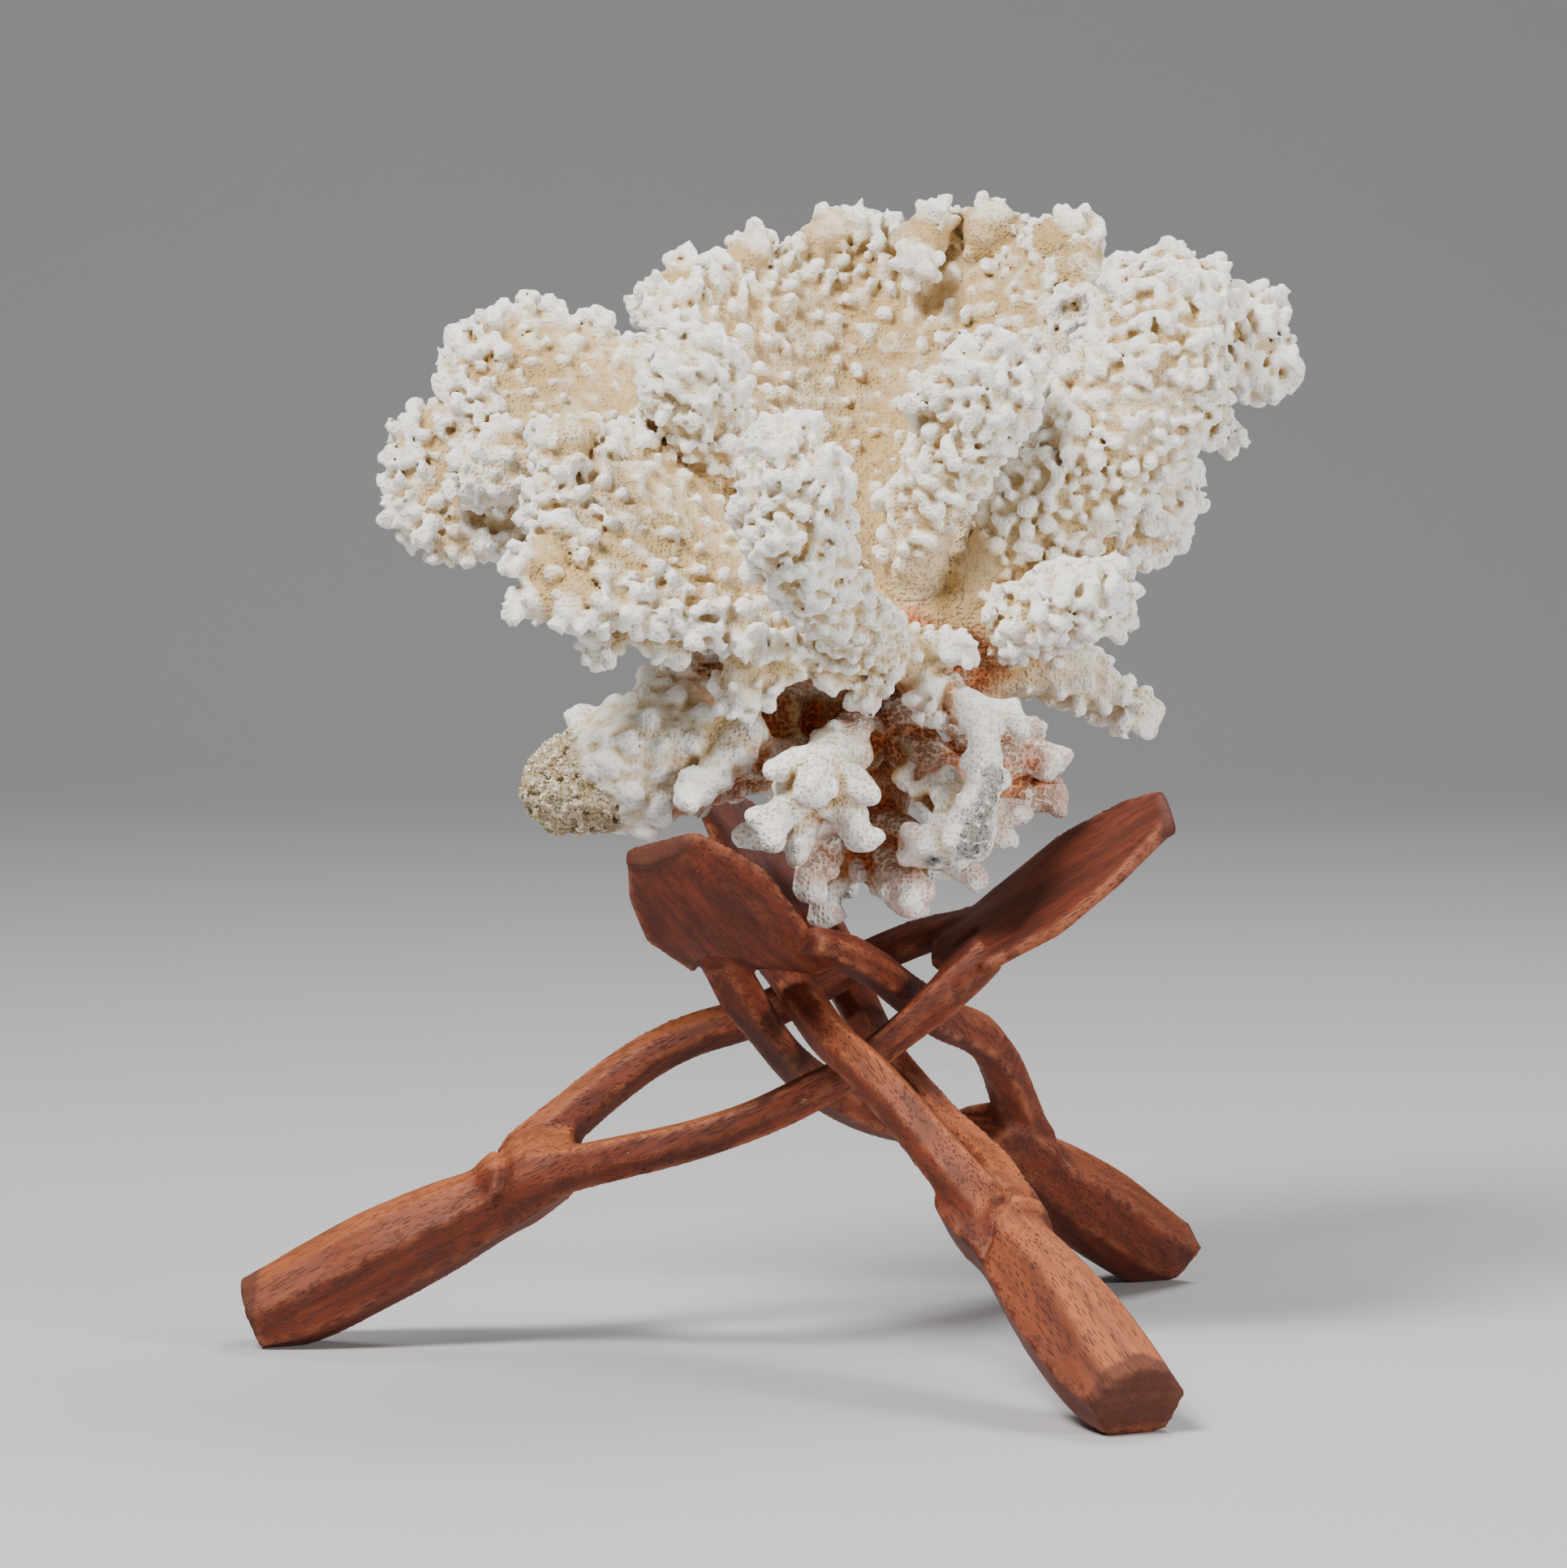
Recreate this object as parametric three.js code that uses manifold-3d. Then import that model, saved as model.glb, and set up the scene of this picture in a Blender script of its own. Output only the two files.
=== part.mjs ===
import * as THREE from 'three';
import { mergeVertices } from 'three/addons/utils/BufferGeometryUtils.js';
import Module from 'manifold-3d';

const wasm = await Module();
wasm.setup();

// Overall placing, millimetres
const EYE_TILT = 5.1 * Math.PI / 180;
const EYE_DISTANCE = 1800;
const EYE_RIGHT = -12.8;
const EYE_UP = 122.3;
const STAND_TURN = -2.4 * Math.PI / 180;
const SHIFT_X = 15.2;
const SHIFT_Y = 3.6;
const SEAM = 0.35;

// Colours of the finished materials
const CORAL_WHITE = new THREE.Color('#e9e3d6');
const WOOD_RED = new THREE.Color('#7a3320');

// A point seen at right and up, standing away millimetres behind the stand's axis
function at(right, up, away) {
  const scale = 1 + away / EYE_DISTANCE;
  const r = EYE_RIGHT + (right - EYE_RIGHT) * scale;
  const u = EYE_UP + (up - EYE_UP) * scale;
  const y = u * Math.sin(EYE_TILT) + away * Math.cos(EYE_TILT);
  const z = u * Math.cos(EYE_TILT) - away * Math.sin(EYE_TILT);
  return new THREE.Vector3(r, y, z);
}

// A repeatable uneven number between -1 and 1
function uneven(i, j, seed) {
  const s = Math.sin(i * 127.1 + j * 311.7 + seed * 74.7) * 43758.5453;
  return (s - Math.floor(s)) * 2 - 1;
}

function smoothList(list, t) {
  const n = list.length - 1;
  const x = Math.min(Math.max(t, 0), 1) * n;
  const i = Math.min(Math.floor(x), n - 1);
  const f = x - i;
  const pick = (k) => list[Math.min(Math.max(k, 0), n)];
  const [a, b, c, d] = [pick(i - 1), pick(i), pick(i + 1), pick(i + 2)];
  return b.map((bv, k) => {
    const [av, cv, dv] = [a[k], c[k], d[k]];
    const lin = (cv - av) * f;
    const sq = (2 * av - 5 * bv + 4 * cv - dv) * f * f;
    const cu = (3 * bv - av - 3 * cv + dv) * f * f * f;
    return bv + 0.5 * (lin + sq + cu);
  });
}

function solidFrom(points, faces) {
  const vertProperties = new Float32Array(points.length * 3);
  points.forEach((p, i) => vertProperties.set([p.x, p.y, p.z], i * 3));
  const triVerts = new Uint32Array(faces.flat());
  const solid = new wasm.Manifold(new wasm.Mesh({ numProp: 3, vertProperties, triVerts }));
  if (solid.volume() >= 0) return solid;
  const turned = new Uint32Array(faces.map(([a, b, c]) => [a, c, b]).flat());
  return new wasm.Manifold(new wasm.Mesh({ numProp: 3, vertProperties, triVerts: turned }));
}

// A finger or stem: stations of right, up, away, radius
function limb(stations, grow, seed, lump = 0.17, step = 11) {
  const centres = stations.map(([r, u, a, w]) => {
    const p = at(r, u, a);
    return [p.x, p.y, p.z, w];
  });
  let length = 0;
  for (let i = 1; i < centres.length; i++) {
    const [a, b] = [centres[i - 1], centres[i]];
    length += Math.hypot(b[0] - a[0], b[1] - a[1], b[2] - a[2]);
  }
  const widest = Math.max(...stations.map((s) => s[3]));
  const rings = Math.max(3, Math.round(length / step) + 1);
  const sides = Math.min(7, Math.max(5, Math.round(widest * 0.66)));
  const points = [];
  const faces = [];
  let across = new THREE.Vector3(0, 0, 1);
  for (let i = 0; i < rings; i++) {
    const t = i / (rings - 1);
    const here = smoothList(centres, t);
    const next = smoothList(centres, Math.min(1, t + 0.02));
    const last = smoothList(centres, Math.max(0, t - 0.02));
    const along = new THREE.Vector3(next[0] - last[0], next[1] - last[1], next[2] - last[2]).normalize();
    if (i === 0 && Math.abs(along.z) > 0.8) across.set(1, 0, 0);
    across = across.clone().sub(along.clone().multiplyScalar(across.dot(along))).normalize();
    const side = along.clone().cross(across);
    for (let j = 0; j < sides; j++) {
      const turn = (j + (i % 2) * 0.5) / sides * Math.PI * 2;
      const bump = 1 + lump * ((j % 2 ? 0.5 : -0.5) + 0.8 * uneven(i, j, seed)) * (i > 0 ? 1 : 0);
      const radius = here[3] * bump + grow;
      const p = new THREE.Vector3(here[0], here[1], here[2]);
      p.addScaledVector(across, Math.cos(turn) * radius);
      p.addScaledVector(side, Math.sin(turn) * radius);
      points.push(p);
    }
    if (i === 0 || i === rings - 1) {
      const reach = (here[3] * 0.55 + grow) * (i === 0 ? -1 : 1);
      const tip = new THREE.Vector3(here[0], here[1], here[2]).addScaledVector(along, reach);
      points.push(tip);
    }
  }
  const first = (i) => i * sides + (i > 0 ? 1 : 0);
  for (let i = 0; i < rings - 1; i++) {
    for (let j = 0; j < sides; j++) {
      const k = (j + 1) % sides;
      const [a, b] = [first(i) + j, first(i) + k];
      const [c, d] = [first(i + 1) + j, first(i + 1) + k];
      if (i % 2 === 0) faces.push([a, b, c], [b, d, c]);
      else faces.push([a, d, c], [a, b, d]);
    }
  }
  for (let j = 0; j < sides; j++) {
    const k = (j + 1) % sides;
    faces.push([first(0) + k, first(0) + j, sides]);
    faces.push([first(rings - 1) + j, first(rings - 1) + k, points.length - 1]);
  }
  return solidFrom(points, faces);
}

// A plate: rows of control points from the stem to the rim, each right, up, away
function plate(rows, thick, grow, seed, step = 11.5, lump = 2.2) {
  const spots = rows.map((row) => row.map(([r, u, a]) => at(r, u, a).toArray()));
  const spot = (s, t) => {
    const line = spots.map((row) => smoothList(row, t));
    return new THREE.Vector3(...smoothList(line, s));
  };
  const span = (path) => {
    let sum = 0;
    for (let i = 1; i < path.length; i++) sum += path[i].distanceTo(path[i - 1]);
    return sum;
  };
  const ticks = [0, 0.125, 0.25, 0.375, 0.5, 0.625, 0.75, 0.875, 1];
  const long = Math.max(...[0.2, 0.5, 0.8].map((t) => span(ticks.map((s) => spot(s, t)))));
  const wide = Math.max(...[0.4, 0.7, 1].map((s) => span(ticks.map((t) => spot(s, t)))));
  const scale = (count, length, edge) => {
    const list = [0];
    const inset = Math.min(0.3, edge / length);
    for (let i = 0; i < count; i++) list.push(inset + (1 - 2 * inset) * i / (count - 1));
    list.push(1);
    return list;
  };
  const us = scale(Math.max(3, Math.round(long / step)), long, 3);
  const vs = scale(Math.max(3, Math.round(wide / step)), wide, 3);
  const points = [];
  const faces = [];
  const front = new Map();
  const back = new Map();
  const centre = spot(0.5, 0.5);
  const facing = (s, t) => {
    const d = 0.02;
    const du = spot(Math.min(1, s + d), t).sub(spot(Math.max(0, s - d), t));
    const dv = spot(s, Math.min(1, t + d)).sub(spot(s, Math.max(0, t - d)));
    return du.cross(dv).normalize();
  };
  const towards = facing(0.5, 0.5).y > 0 ? -1 : 1;
  us.forEach((s, i) => vs.forEach((t, j) => {
    const border = i === 0 || j === 0 || i === us.length - 1 || j === vs.length - 1;
    const normal = facing(s, t).multiplyScalar(towards);
    const half = smoothList(thick.map((v) => [v]), s)[0] / 2;
    const near = spot(s, t);
    const key = i * 100 + j;
    const tall = (i + j) % 2 ? 0.55 : -0.55;
    if (border) {
      const out = near.clone().sub(centre).normalize();
      const push = i === 0 ? 0 : lump * (0.35 * uneven(i, j, seed) + 0.35 * (tall > 0 ? 1 : -1));
      points.push(near.addScaledVector(out, push + grow));
      front.set(key, points.length - 1);
      back.set(key, points.length - 1);
      return;
    }
    const rim = Math.min(1, 0.35 + s);
    const ahead = half + grow + lump * rim * (tall + 0.5 * uneven(i, j, seed + 3));
    const behind = half + grow + lump * rim * (-tall + 0.5 * uneven(i, j, seed + 7));
    points.push(near.clone().addScaledVector(normal, ahead));
    front.set(key, points.length - 1);
    points.push(near.clone().addScaledVector(normal, -behind));
    back.set(key, points.length - 1);
  }));
  for (let i = 0; i < us.length - 1; i++) {
    for (let j = 0; j < vs.length - 1; j++) {
      for (const [skin, flip] of [[front, false], [back, true]]) {
        const [a, b] = [skin.get(i * 100 + j), skin.get(i * 100 + j + 1)];
        const [c, d] = [skin.get(i * 100 + 100 + j), skin.get(i * 100 + 101 + j)];
        const ends = [i === 0, i === us.length - 2, j === 0, j === vs.length - 2];
        const corner = (ends[0] || ends[1]) && (ends[2] || ends[3]);
        const across = corner ? ends[0] !== ends[2] : (i + j) % 2 === 1;
        const pair = across ? [[a, b, c], [b, d, c]] : [[a, b, d], [a, d, c]];
        pair.forEach(([p, q, r]) => {
          if (p === q || q === r || r === p) return;
          faces.push(flip ? [p, r, q] : [p, q, r]);
        });
      }
    }
  }
  return solidFrom(points, faces);
}

// The coral, each piece as plates and fingers in seen right, up, away, radius
const CORAL = {
  coral_trunk: {
    limbs: [
      [[6, 110, 0, 9], [5, 122, 0, 12], [7, 135, 0, 13], [13, 148, 0, 15], [17, 162, 0, 14]],
      [[22, 150, 0, 10], [28, 160, -2, 11], [30, 170, -4, 9]],
      [[-6, 136, -2, 9], [-10, 128, 0, 8], [-14, 120, 4, 7]],
    ],
  },
  coral_back_plate: {
    plates: [{
      rows: [
        [[0, 160, 2], [6, 160, 6], [12, 160, 8], [18, 161, 8], [26, 164, 4]],
        [[-12, 176, 0], [-2, 174, 14], [8, 174, 20], [18, 176, 18], [28, 180, 6]],
        [[-24, 192, 4], [-10, 190, 24], [6, 190, 34], [22, 192, 28], [36, 196, 10]],
        [[-34, 208, 12], [-16, 206, 34], [4, 207, 46], [26, 208, 40], [46, 212, 18]],
        [[-42, 222, 22], [-20, 224, 42], [2, 226, 56], [28, 228, 50], [53, 226, 26]],
        [[-46, 229, 28], [-22, 238, 48], [2, 241, 62], [30, 245, 56], [55, 241, 32]],
      ],
      thick: [14, 11, 9, 8.5, 9, 8],
    }],
    limbs: [
      [[-38, 229, 34, 6], [-32, 236, 36, 4]],
      [[-21, 236, 46, 6], [-19, 241, 47, 4.5]],
      [[-6, 240, 56, 6], [1, 243, 58, 6], [8, 240, 58, 5]],
      [[18, 240, 50, 7], [20, 246, 50, 4]],
      [[32, 242, 50, 8], [33, 248, 50, 7]],
      [[48, 240, 38, 7], [51, 244, 36, 5]],
      [[15, 240, 50, 6], [17, 233, 40, 3.5]],
      [[52, 234, 30, 6], [55, 231, 28, 4]],
    ],
  },
  coral_far_left_plate: {
    plates: [{
      rows: [
        [[-26, 184, 0], [-28, 192, 4], [-30, 200, 10], [-32, 208, 14]],
        [[-42, 182, -6], [-44, 195, 0], [-46, 208, 8], [-48, 220, 16]],
        [[-58, 184, -8], [-60, 199, -2], [-61, 212, 8], [-59, 223, 16]],
        [[-74, 188, -8], [-76, 201, -2], [-75, 215, 8], [-67, 227, 16]],
        [[-82, 192, -6], [-86, 205, 0], [-85, 216, 8], [-78, 225, 14]],
      ],
      thick: [12, 10, 9, 9, 8],
    }, {
      rows: [
        [[-54, 176, -8], [-56, 186, -6], [-58, 196, -4]],
        [[-70, 172, -6], [-73, 186, -4], [-74, 200, -2]],
        [[-86, 171, -6], [-89, 186, -2], [-87, 203, 4]],
        [[-94, 174, -4], [-100, 185, 0], [-95, 202, 5]],
      ],
      thick: [10, 9, 10, 8],
    }],
    limbs: [
      [[-64, 190, -8, 8], [-74, 190, -12, 9], [-79, 188, -15, 7]],
      [[-70, 196, -8, 7], [-76, 196, -12, 6]],
      [[-84, 174, -8, 4], [-85, 170, -9, 3]],
    ],
  },
  coral_knob_branch: {
    limbs: [
      [[-20, 180, -6, 8], [-26, 190, -16, 8], [-31, 201, -24, 10], [-33, 211, -28, 10.5], [-32, 215, -28, 6]],
      [[-30, 205, -26, 7], [-38, 211, -28, 6]],
      [[-30, 206, -27, 7], [-26, 211, -28, 5.5]],
    ],
  },
  coral_front_left_plate: {
    plates: [{
      rows: [
        [[19, 149, -10], [15, 153, -8], [11, 158, -6], [8, 163, -4], [6, 168, -2]],
        [[2, 145, -32], [-1, 151, -26], [-4, 158, -20], [-6, 167, -12], [-8, 175, -4]],
        [[-14, 150, -43], [-17, 158, -37], [-20, 167, -30], [-23, 178, -20], [-24, 187, -9]],
        [[-32, 154, -51], [-35, 163, -47], [-38, 174, -40], [-40, 186, -30], [-40, 197, -19]],
        [[-48, 157, -57], [-52, 165, -54], [-55, 177, -47], [-55, 190, -37], [-51, 200, -28]],
        [[-58, 157, -60], [-66, 163, -58], [-68, 175, -52], [-68, 189, -44], [-61, 200, -36]],
      ],
      thick: [12, 10, 9, 9, 10, 9],
    }],
    limbs: [
      [[-62, 162, -57, 6], [-70, 163, -58, 4.5]],
      [[-64, 170, -55, 7], [-71, 171, -56, 4.5]],
      [[-60, 196, -40, 7], [-66, 197, -40, 5]],
      [[-58, 164, -58, 6], [-60, 158, -60, 4.5]],
      [[-42, 157, -48, 5], [-50, 154, -46, 4], [-54, 152, -46, 3]],
      [[-20, 152, -38, 7], [-22, 143, -38, 6], [-24, 139, -38, 4]],
      [[-14, 150, -38, 6], [-17, 141, -38, 4]],
      [[-36, 157, -44, 5], [-40, 152, -42, 3.5]],
    ],
  },
  coral_front_branch: {
    limbs: [
      [[18, 149, -12, 8], [9, 152, -28, 8], [1, 159, -44, 9], [-6, 167, -58, 10], [-10, 177, -68, 12],
        [-11, 186, -73, 12], [-11, 194, -75, 8], [-10, 200, -75, 3.5]],
      [[-8, 175, -66, 8], [-19, 179, -68, 5]],
      [[-8, 182, -70, 8], [-19, 186, -71, 4]],
      [[-8, 180, -68, 8], [-1, 180, -70, 5]],
      [[-6, 170, -60, 7], [-17, 171, -64, 5]],
      [[12, 152, -22, 6], [6, 145, -28, 5], [5, 141, -29, 3.5]],
      [[14, 152, -20, 6], [24, 152, -24, 5], [27, 151, -25, 4]],
      [[14, 150, -20, 6], [18, 143, -24, 5], [19, 136, -25, 3]],
    ],
  },
  coral_middle_branch: {
    limbs: [
      [[15, 164, -4, 9], [16, 174, -10, 9], [20, 186, -17, 9], [27, 198, -24, 10], [31, 208, -29, 11],
        [31, 215, -30, 6]],
      [[18, 182, -14, 7], [12, 184, -16, 4.5]],
      [[28, 206, -27, 8], [17, 205, -28, 5]],
      [[30, 207, -28, 8], [39, 209, -30, 6]],
    ],
  },
  coral_right_branch: {
    plates: [{
      rows: [
        [[22, 160, -6], [28, 159, -8], [36, 158, -6], [42, 158, -2]],
        [[27, 175, -6], [35, 172, -10], [45, 171, -8], [54, 174, -2]],
        [[37, 191, -8], [47, 188, -14], [57, 186, -12], [67, 190, -4]],
        [[47, 206, -8], [57, 204, -17], [68, 202, -17], [79, 203, -6]],
        [[54, 222, -4], [63, 220, -15], [73, 217, -17], [82, 216, -6]],
        [[60, 234, 2], [67, 235, -8], [75, 234, -10], [83, 230, 0]],
      ],
      thick: [14, 12, 12, 14, 14, 10],
    }, {
      rows: [
        [[72, 204, 0], [74, 213, 0], [76, 224, 2]],
        [[84, 207, 4], [86, 216, 2], [86, 228, 5]],
        [[96, 206, 8], [101, 217, 6], [95, 231, 9]],
      ],
      thick: [12, 12, 10],
    }],
    limbs: [
      [[72, 208, -6, 6], [80, 201, -5, 5], [85, 197, -5, 3.5]],
      [[70, 232, -6, 7], [72, 237, -4, 5]],
      [[78, 230, -4, 6], [80, 235, -2, 4.5]],
    ],
  },
  coral_right_plate: {
    plates: [{
      rows: [
        [[28, 150, 2], [30, 157, 4], [32, 164, 6]],
        [[44, 156, 0], [46, 166, 2], [46, 176, 4]],
        [[58, 164, 4], [60, 176, 4], [61, 188, 6]],
        [[70, 172, 10], [77, 183, 10], [74, 193, 10]],
      ],
      thick: [12, 12, 12, 10],
    }],
    limbs: [
      [[34, 155, -4, 8], [42, 158, -16, 9], [50, 162, -26, 9], [54, 163, -30, 7]],
      [[38, 160, -12, 6], [34, 163, -20, 4]],
      [[44, 160, -24, 6], [46, 161, -34, 4.5]],
      [[52, 160, -22, 6], [60, 159, -22, 4]],
      [[40, 156, -14, 6], [38, 154, -22, 4.5]],
      [[54, 164, -22, 6], [60, 166, -20, 4.5]],
    ],
  },
  coral_right_finger: {
    limbs: [
      [[24, 143, 6, 8], [36, 147, 4, 8], [46, 147, 4, 7.5], [54, 144, 6, 7], [60, 139, 8, 4.5], [63, 136.5, 9, 2.2]],
      [[48, 148, 4, 6], [54, 149, 4, 4]],
    ],
  },
  coral_lower_left_branch: {
    plates: [{
      rows: [
        [[-6, 128, -2], [-6, 134, -4], [-8, 140, -2]],
        [[-20, 124, -10], [-22, 134, -14], [-24, 144, -8]],
        [[-34, 120, -18], [-36, 131, -22], [-38, 143, -10]],
        [[-48, 116, -22], [-50, 125, -25], [-49, 134, -14]],
        [[-62, 115, -22], [-66, 121, -23], [-63, 127, -16]],
      ],
      thick: [14, 15, 18, 18, 15],
    }],
    limbs: [
      [[-24, 140, -8, 7], [-32, 146, -6, 6], [-38, 149, -6, 4.5]],
      [[-24, 130, -26, 6.5], [-29, 123, -33, 5.5], [-35, 118, -37, 4.5]],
      [[-22, 132, -24, 6], [-22, 126, -30, 4]],
      [[-50, 134, -16, 6], [-56, 136, -16, 4]],
      [[-46, 120, -26, 6], [-48, 115, -28, 4]],
    ],
  },
  coral_lower_front_fingers: {
    limbs: [
      [[4, 132, -14, 8], [-1, 129, -26, 7.5], [-5, 124, -38, 6.5], [-6.5, 120, -48, 4.5]],
      [[-3, 127, -34, 5.5], [-10, 127, -38, 4.5], [-14, 125, -40, 4]],
      [[-3, 124, -34, 6], [3, 122, -38, 4.8], [6, 119.5, -40, 3.5]],
      [[-5, 124, -34, 6], [-12, 117, -38, 5], [-17, 112, -40, 4.4]],
      [[-3, 122, -34, 5.5], [2, 114, -36, 4.8], [5, 109.5, -37, 4.2]],
      [[-6, 122, -32, 5.5], [-9, 112, -34, 4.6], [-10, 106, -35, 3.6]],
    ],
  },
  coral_lower_right_fingers: {
    limbs: [
      [[14, 138, -12, 7], [22, 140, -18, 6], [29, 137, -28, 5], [31, 128, -34, 4.8], [30, 120, -36, 5.2],
        [27, 112, -36, 6.5], [29, 109, -34, 5]],
      [[28, 138, -26, 5], [36, 137, -26, 4], [40, 133, -26, 2.8]],
      [[22, 120, -24, 7], [24, 112, -30, 7], [14, 108, -26, 5.5]],
      [[26, 118, -26, 6], [30, 114, -34, 6]],
      [[22, 122, -20, 6], [34, 127, -16, 5.5], [43, 128, -14, 5], [47, 127, -14, 3.5]],
      [[28, 124, -16, 6], [38, 120, -12, 5.5], [47, 120, -10, 4.2]],
      [[26, 128, -10, 6], [36, 132, -6, 5.5], [42, 134, -4, 4.4]],
      [[28, 116, -20, 5.5], [36, 116, -20, 4.5], [40, 116, -20, 3.2]],
      [[28, 114, -22, 5], [34, 111, -24, 4], [37, 111, -25, 3]],
      [[12, 132, -10, 6], [14, 126, -20, 4], [14, 122, -24, 3]],
      [[16, 130, -12, 7], [22, 122, -20, 7]],
    ],
  },
  coral_base_fingers: {
    limbs: [
      [[4, 112, -4, 8], [10, 104, -14, 7], [14, 99, -22, 6.4], [15, 97, -24, 5]],
      [[2, 112, -4, 7], [-3, 100, -14, 5], [-4, 93, -18, 4.4]],
      [[0, 112, -10, 6], [-6, 104, -22, 5], [-8, 99, -26, 4]],
      [[8, 112, -8, 7], [20, 108, -16, 5], [28, 103, -20, 4.2], [30, 102, -20, 3]],
      [[2, 110, -6, 6], [3, 104, -16, 3.6], [4, 102, -18, 2.8]],
      [[4, 112, 4, 8], [0, 104, 16, 6], [-4, 98, 24, 4]],
      [[8, 112, 4, 7], [18, 106, 12, 5], [24, 104, 18, 3.6]],
      [[0, 114, 4, 7], [-14, 112, 8, 5.5], [-22, 111, 10, 4]],
    ],
  },
  coral_back_left_branch: {
    plates: [{
      rows: [
        [[-4, 138, 8], [0, 142, 10], [4, 146, 12]],
        [[-16, 142, 24], [-12, 150, 27], [-8, 158, 28]],
        [[-30, 150, 40], [-25, 160, 45], [-18, 171, 45]],
        [[-42, 162, 52], [-34, 174, 58], [-26, 186, 56]],
      ],
      thick: [14, 12, 10, 9],
    }],
    limbs: [
      [[-34, 166, 50, 6], [-40, 172, 54, 4.5]],
      [[-26, 178, 54, 6], [-26, 187, 58, 4.5]],
      [[-10, 138, 18, 6], [-20, 134, 30, 4.5], [-24, 133, 34, 3.5]],
    ],
  },
  coral_back_right_branch: {
    plates: [{
      rows: [
        [[15, 141, 7], [19, 146, 9], [24, 151, 10]],
        [[24, 145, 24], [31, 153, 26], [37, 161, 24]],
        [[32, 153, 42], [41, 164, 44], [49, 175, 40]],
        [[38, 165, 56], [49, 178, 58], [59, 189, 52]],
      ],
      thick: [14, 12, 10, 9],
    }],
    limbs: [
      [[47, 180, 52, 6.5], [50, 188, 59, 5]],
      [[37, 166, 48, 6], [35, 174, 56, 4.5]],
      [[22, 138, 16, 6], [30, 132, 28, 4.5], [33, 130, 32, 3.5]],
    ],
  },
  coral_lower_back_fingers: {
    limbs: [
      [[4, 130, 8, 8], [0, 126, 22, 7], [-4, 122, 34, 5], [-6, 120, 38, 3.6]],
      [[8, 128, 8, 8], [14, 124, 24, 6.5], [18, 118, 34, 4.4]],
      [[2, 124, 20, 6], [4, 114, 28, 4.6], [4, 109, 31, 3.6]],
      [[6, 132, 14, 7], [8, 134, 30, 5.5], [8, 136, 38, 4]],
      [[-2, 126, 18, 6], [-14, 124, 24, 4.8], [-19, 122, 26, 3.6]],
      [[14, 126, 18, 6], [26, 122, 18, 4.8], [31, 120, 18, 3.6]],
    ],
  },
};

function coralSolid(piece, grow, seed) {
  let solid = null;
  const add = (next) => {
    solid = solid ? solid.add(next) : next;
  };
  (piece.plates || []).forEach((p, i) => add(plate(p.rows, p.thick, grow, seed + i)));
  (piece.limbs || []).forEach((l, i) => add(limb(l, grow, seed + 10 + i)));
  return solid;
}

function largestBody(solid) {
  const bodies = solid.decompose();
  bodies.sort((a, b) => b.volume() - a.volume());
  return bodies[0];
}

// One leg of the stand, lying towards its foot along x, sideways y, up z
const FOOT = [
  [128.2, 0, 6.4, 10.4, 8.8],
  [117, 0, 10.6, 11.6, 11],
  [102, 0, 18.6, 12, 11.2],
  [88, 0, 25.6, 11, 10],
  [77, 0, 31, 9.6, 8.6],
  [71, 0, 35, 11, 9.6],
  [63, 0, 39.5, 10.8, 8.4],
  [57, 0, 42.5, 7.5, 5.5],
];
const HIGH_STRAND = [
  [72, -3, 38, 6.5, 6.5],
  [60, -7.5, 48.5, 5.6, 5.6],
  [46, -11.5, 59.5, 5.2, 5.2],
  [34, -13, 66, 5, 4.9],
  [20, -13, 70.5, 4.9, 4.7],
  [8, -12.5, 76.3, 5, 4.4],
  [-4, -12, 82.8, 5.2, 4.2],
  [-16, -11, 88, 6, 4.2],
  [-28, -9, 92, 5.6, 3.2],
];
const LOW_STRAND = [
  [72, 3, 34, 6.5, 6.5],
  [60, 7.5, 39.5, 5.6, 5.4],
  [46, 11.5, 43.5, 5.2, 5],
  [34, 13, 46.5, 5, 4.8],
  [20, 13, 51, 4.9, 4.6],
  [8, 12.5, 56.5, 4.9, 4.6],
  [-2, 12, 62, 5, 4.1],
  [-12, 12, 69.8, 5.2, 3.9],
  [-22, 12, 78.5, 6, 4.6],
  [-32, 11, 88, 5.4, 4.6],
];
// Blade rings: high edge, hollow of the inner face, low edge, ridge of the outer face
const BLADE = [
  { high: [-18, -12, 88], hollow: [-21, -2, 88.5], low: [-20, 14, 79], ridge: [-20, 0, 82], edge: 1.3 },
  { high: [-30, -12.5, 98], hollow: [-31, 2, 94.5], low: [-32, 19, 84.5], ridge: [-28, 0, 85], edge: 1.3 },
  { high: [-45, -12, 111], hollow: [-46, 3, 104], low: [-47, 20.5, 92.5], ridge: [-43, -1, 95], edge: 1.5 },
  { high: [-57, -8.5, 116], hollow: [-58, 4, 110.5], low: [-58, 17, 102.5], ridge: [-54, 1, 103], edge: 2 },
  { high: [-66.5, -3.2, 117.4], hollow: [-67, 3.4, 117.4], low: [-66, 12.2, 112.1], ridge: [-64.5, 3.6, 110], edge: 2.4 },
];

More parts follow.
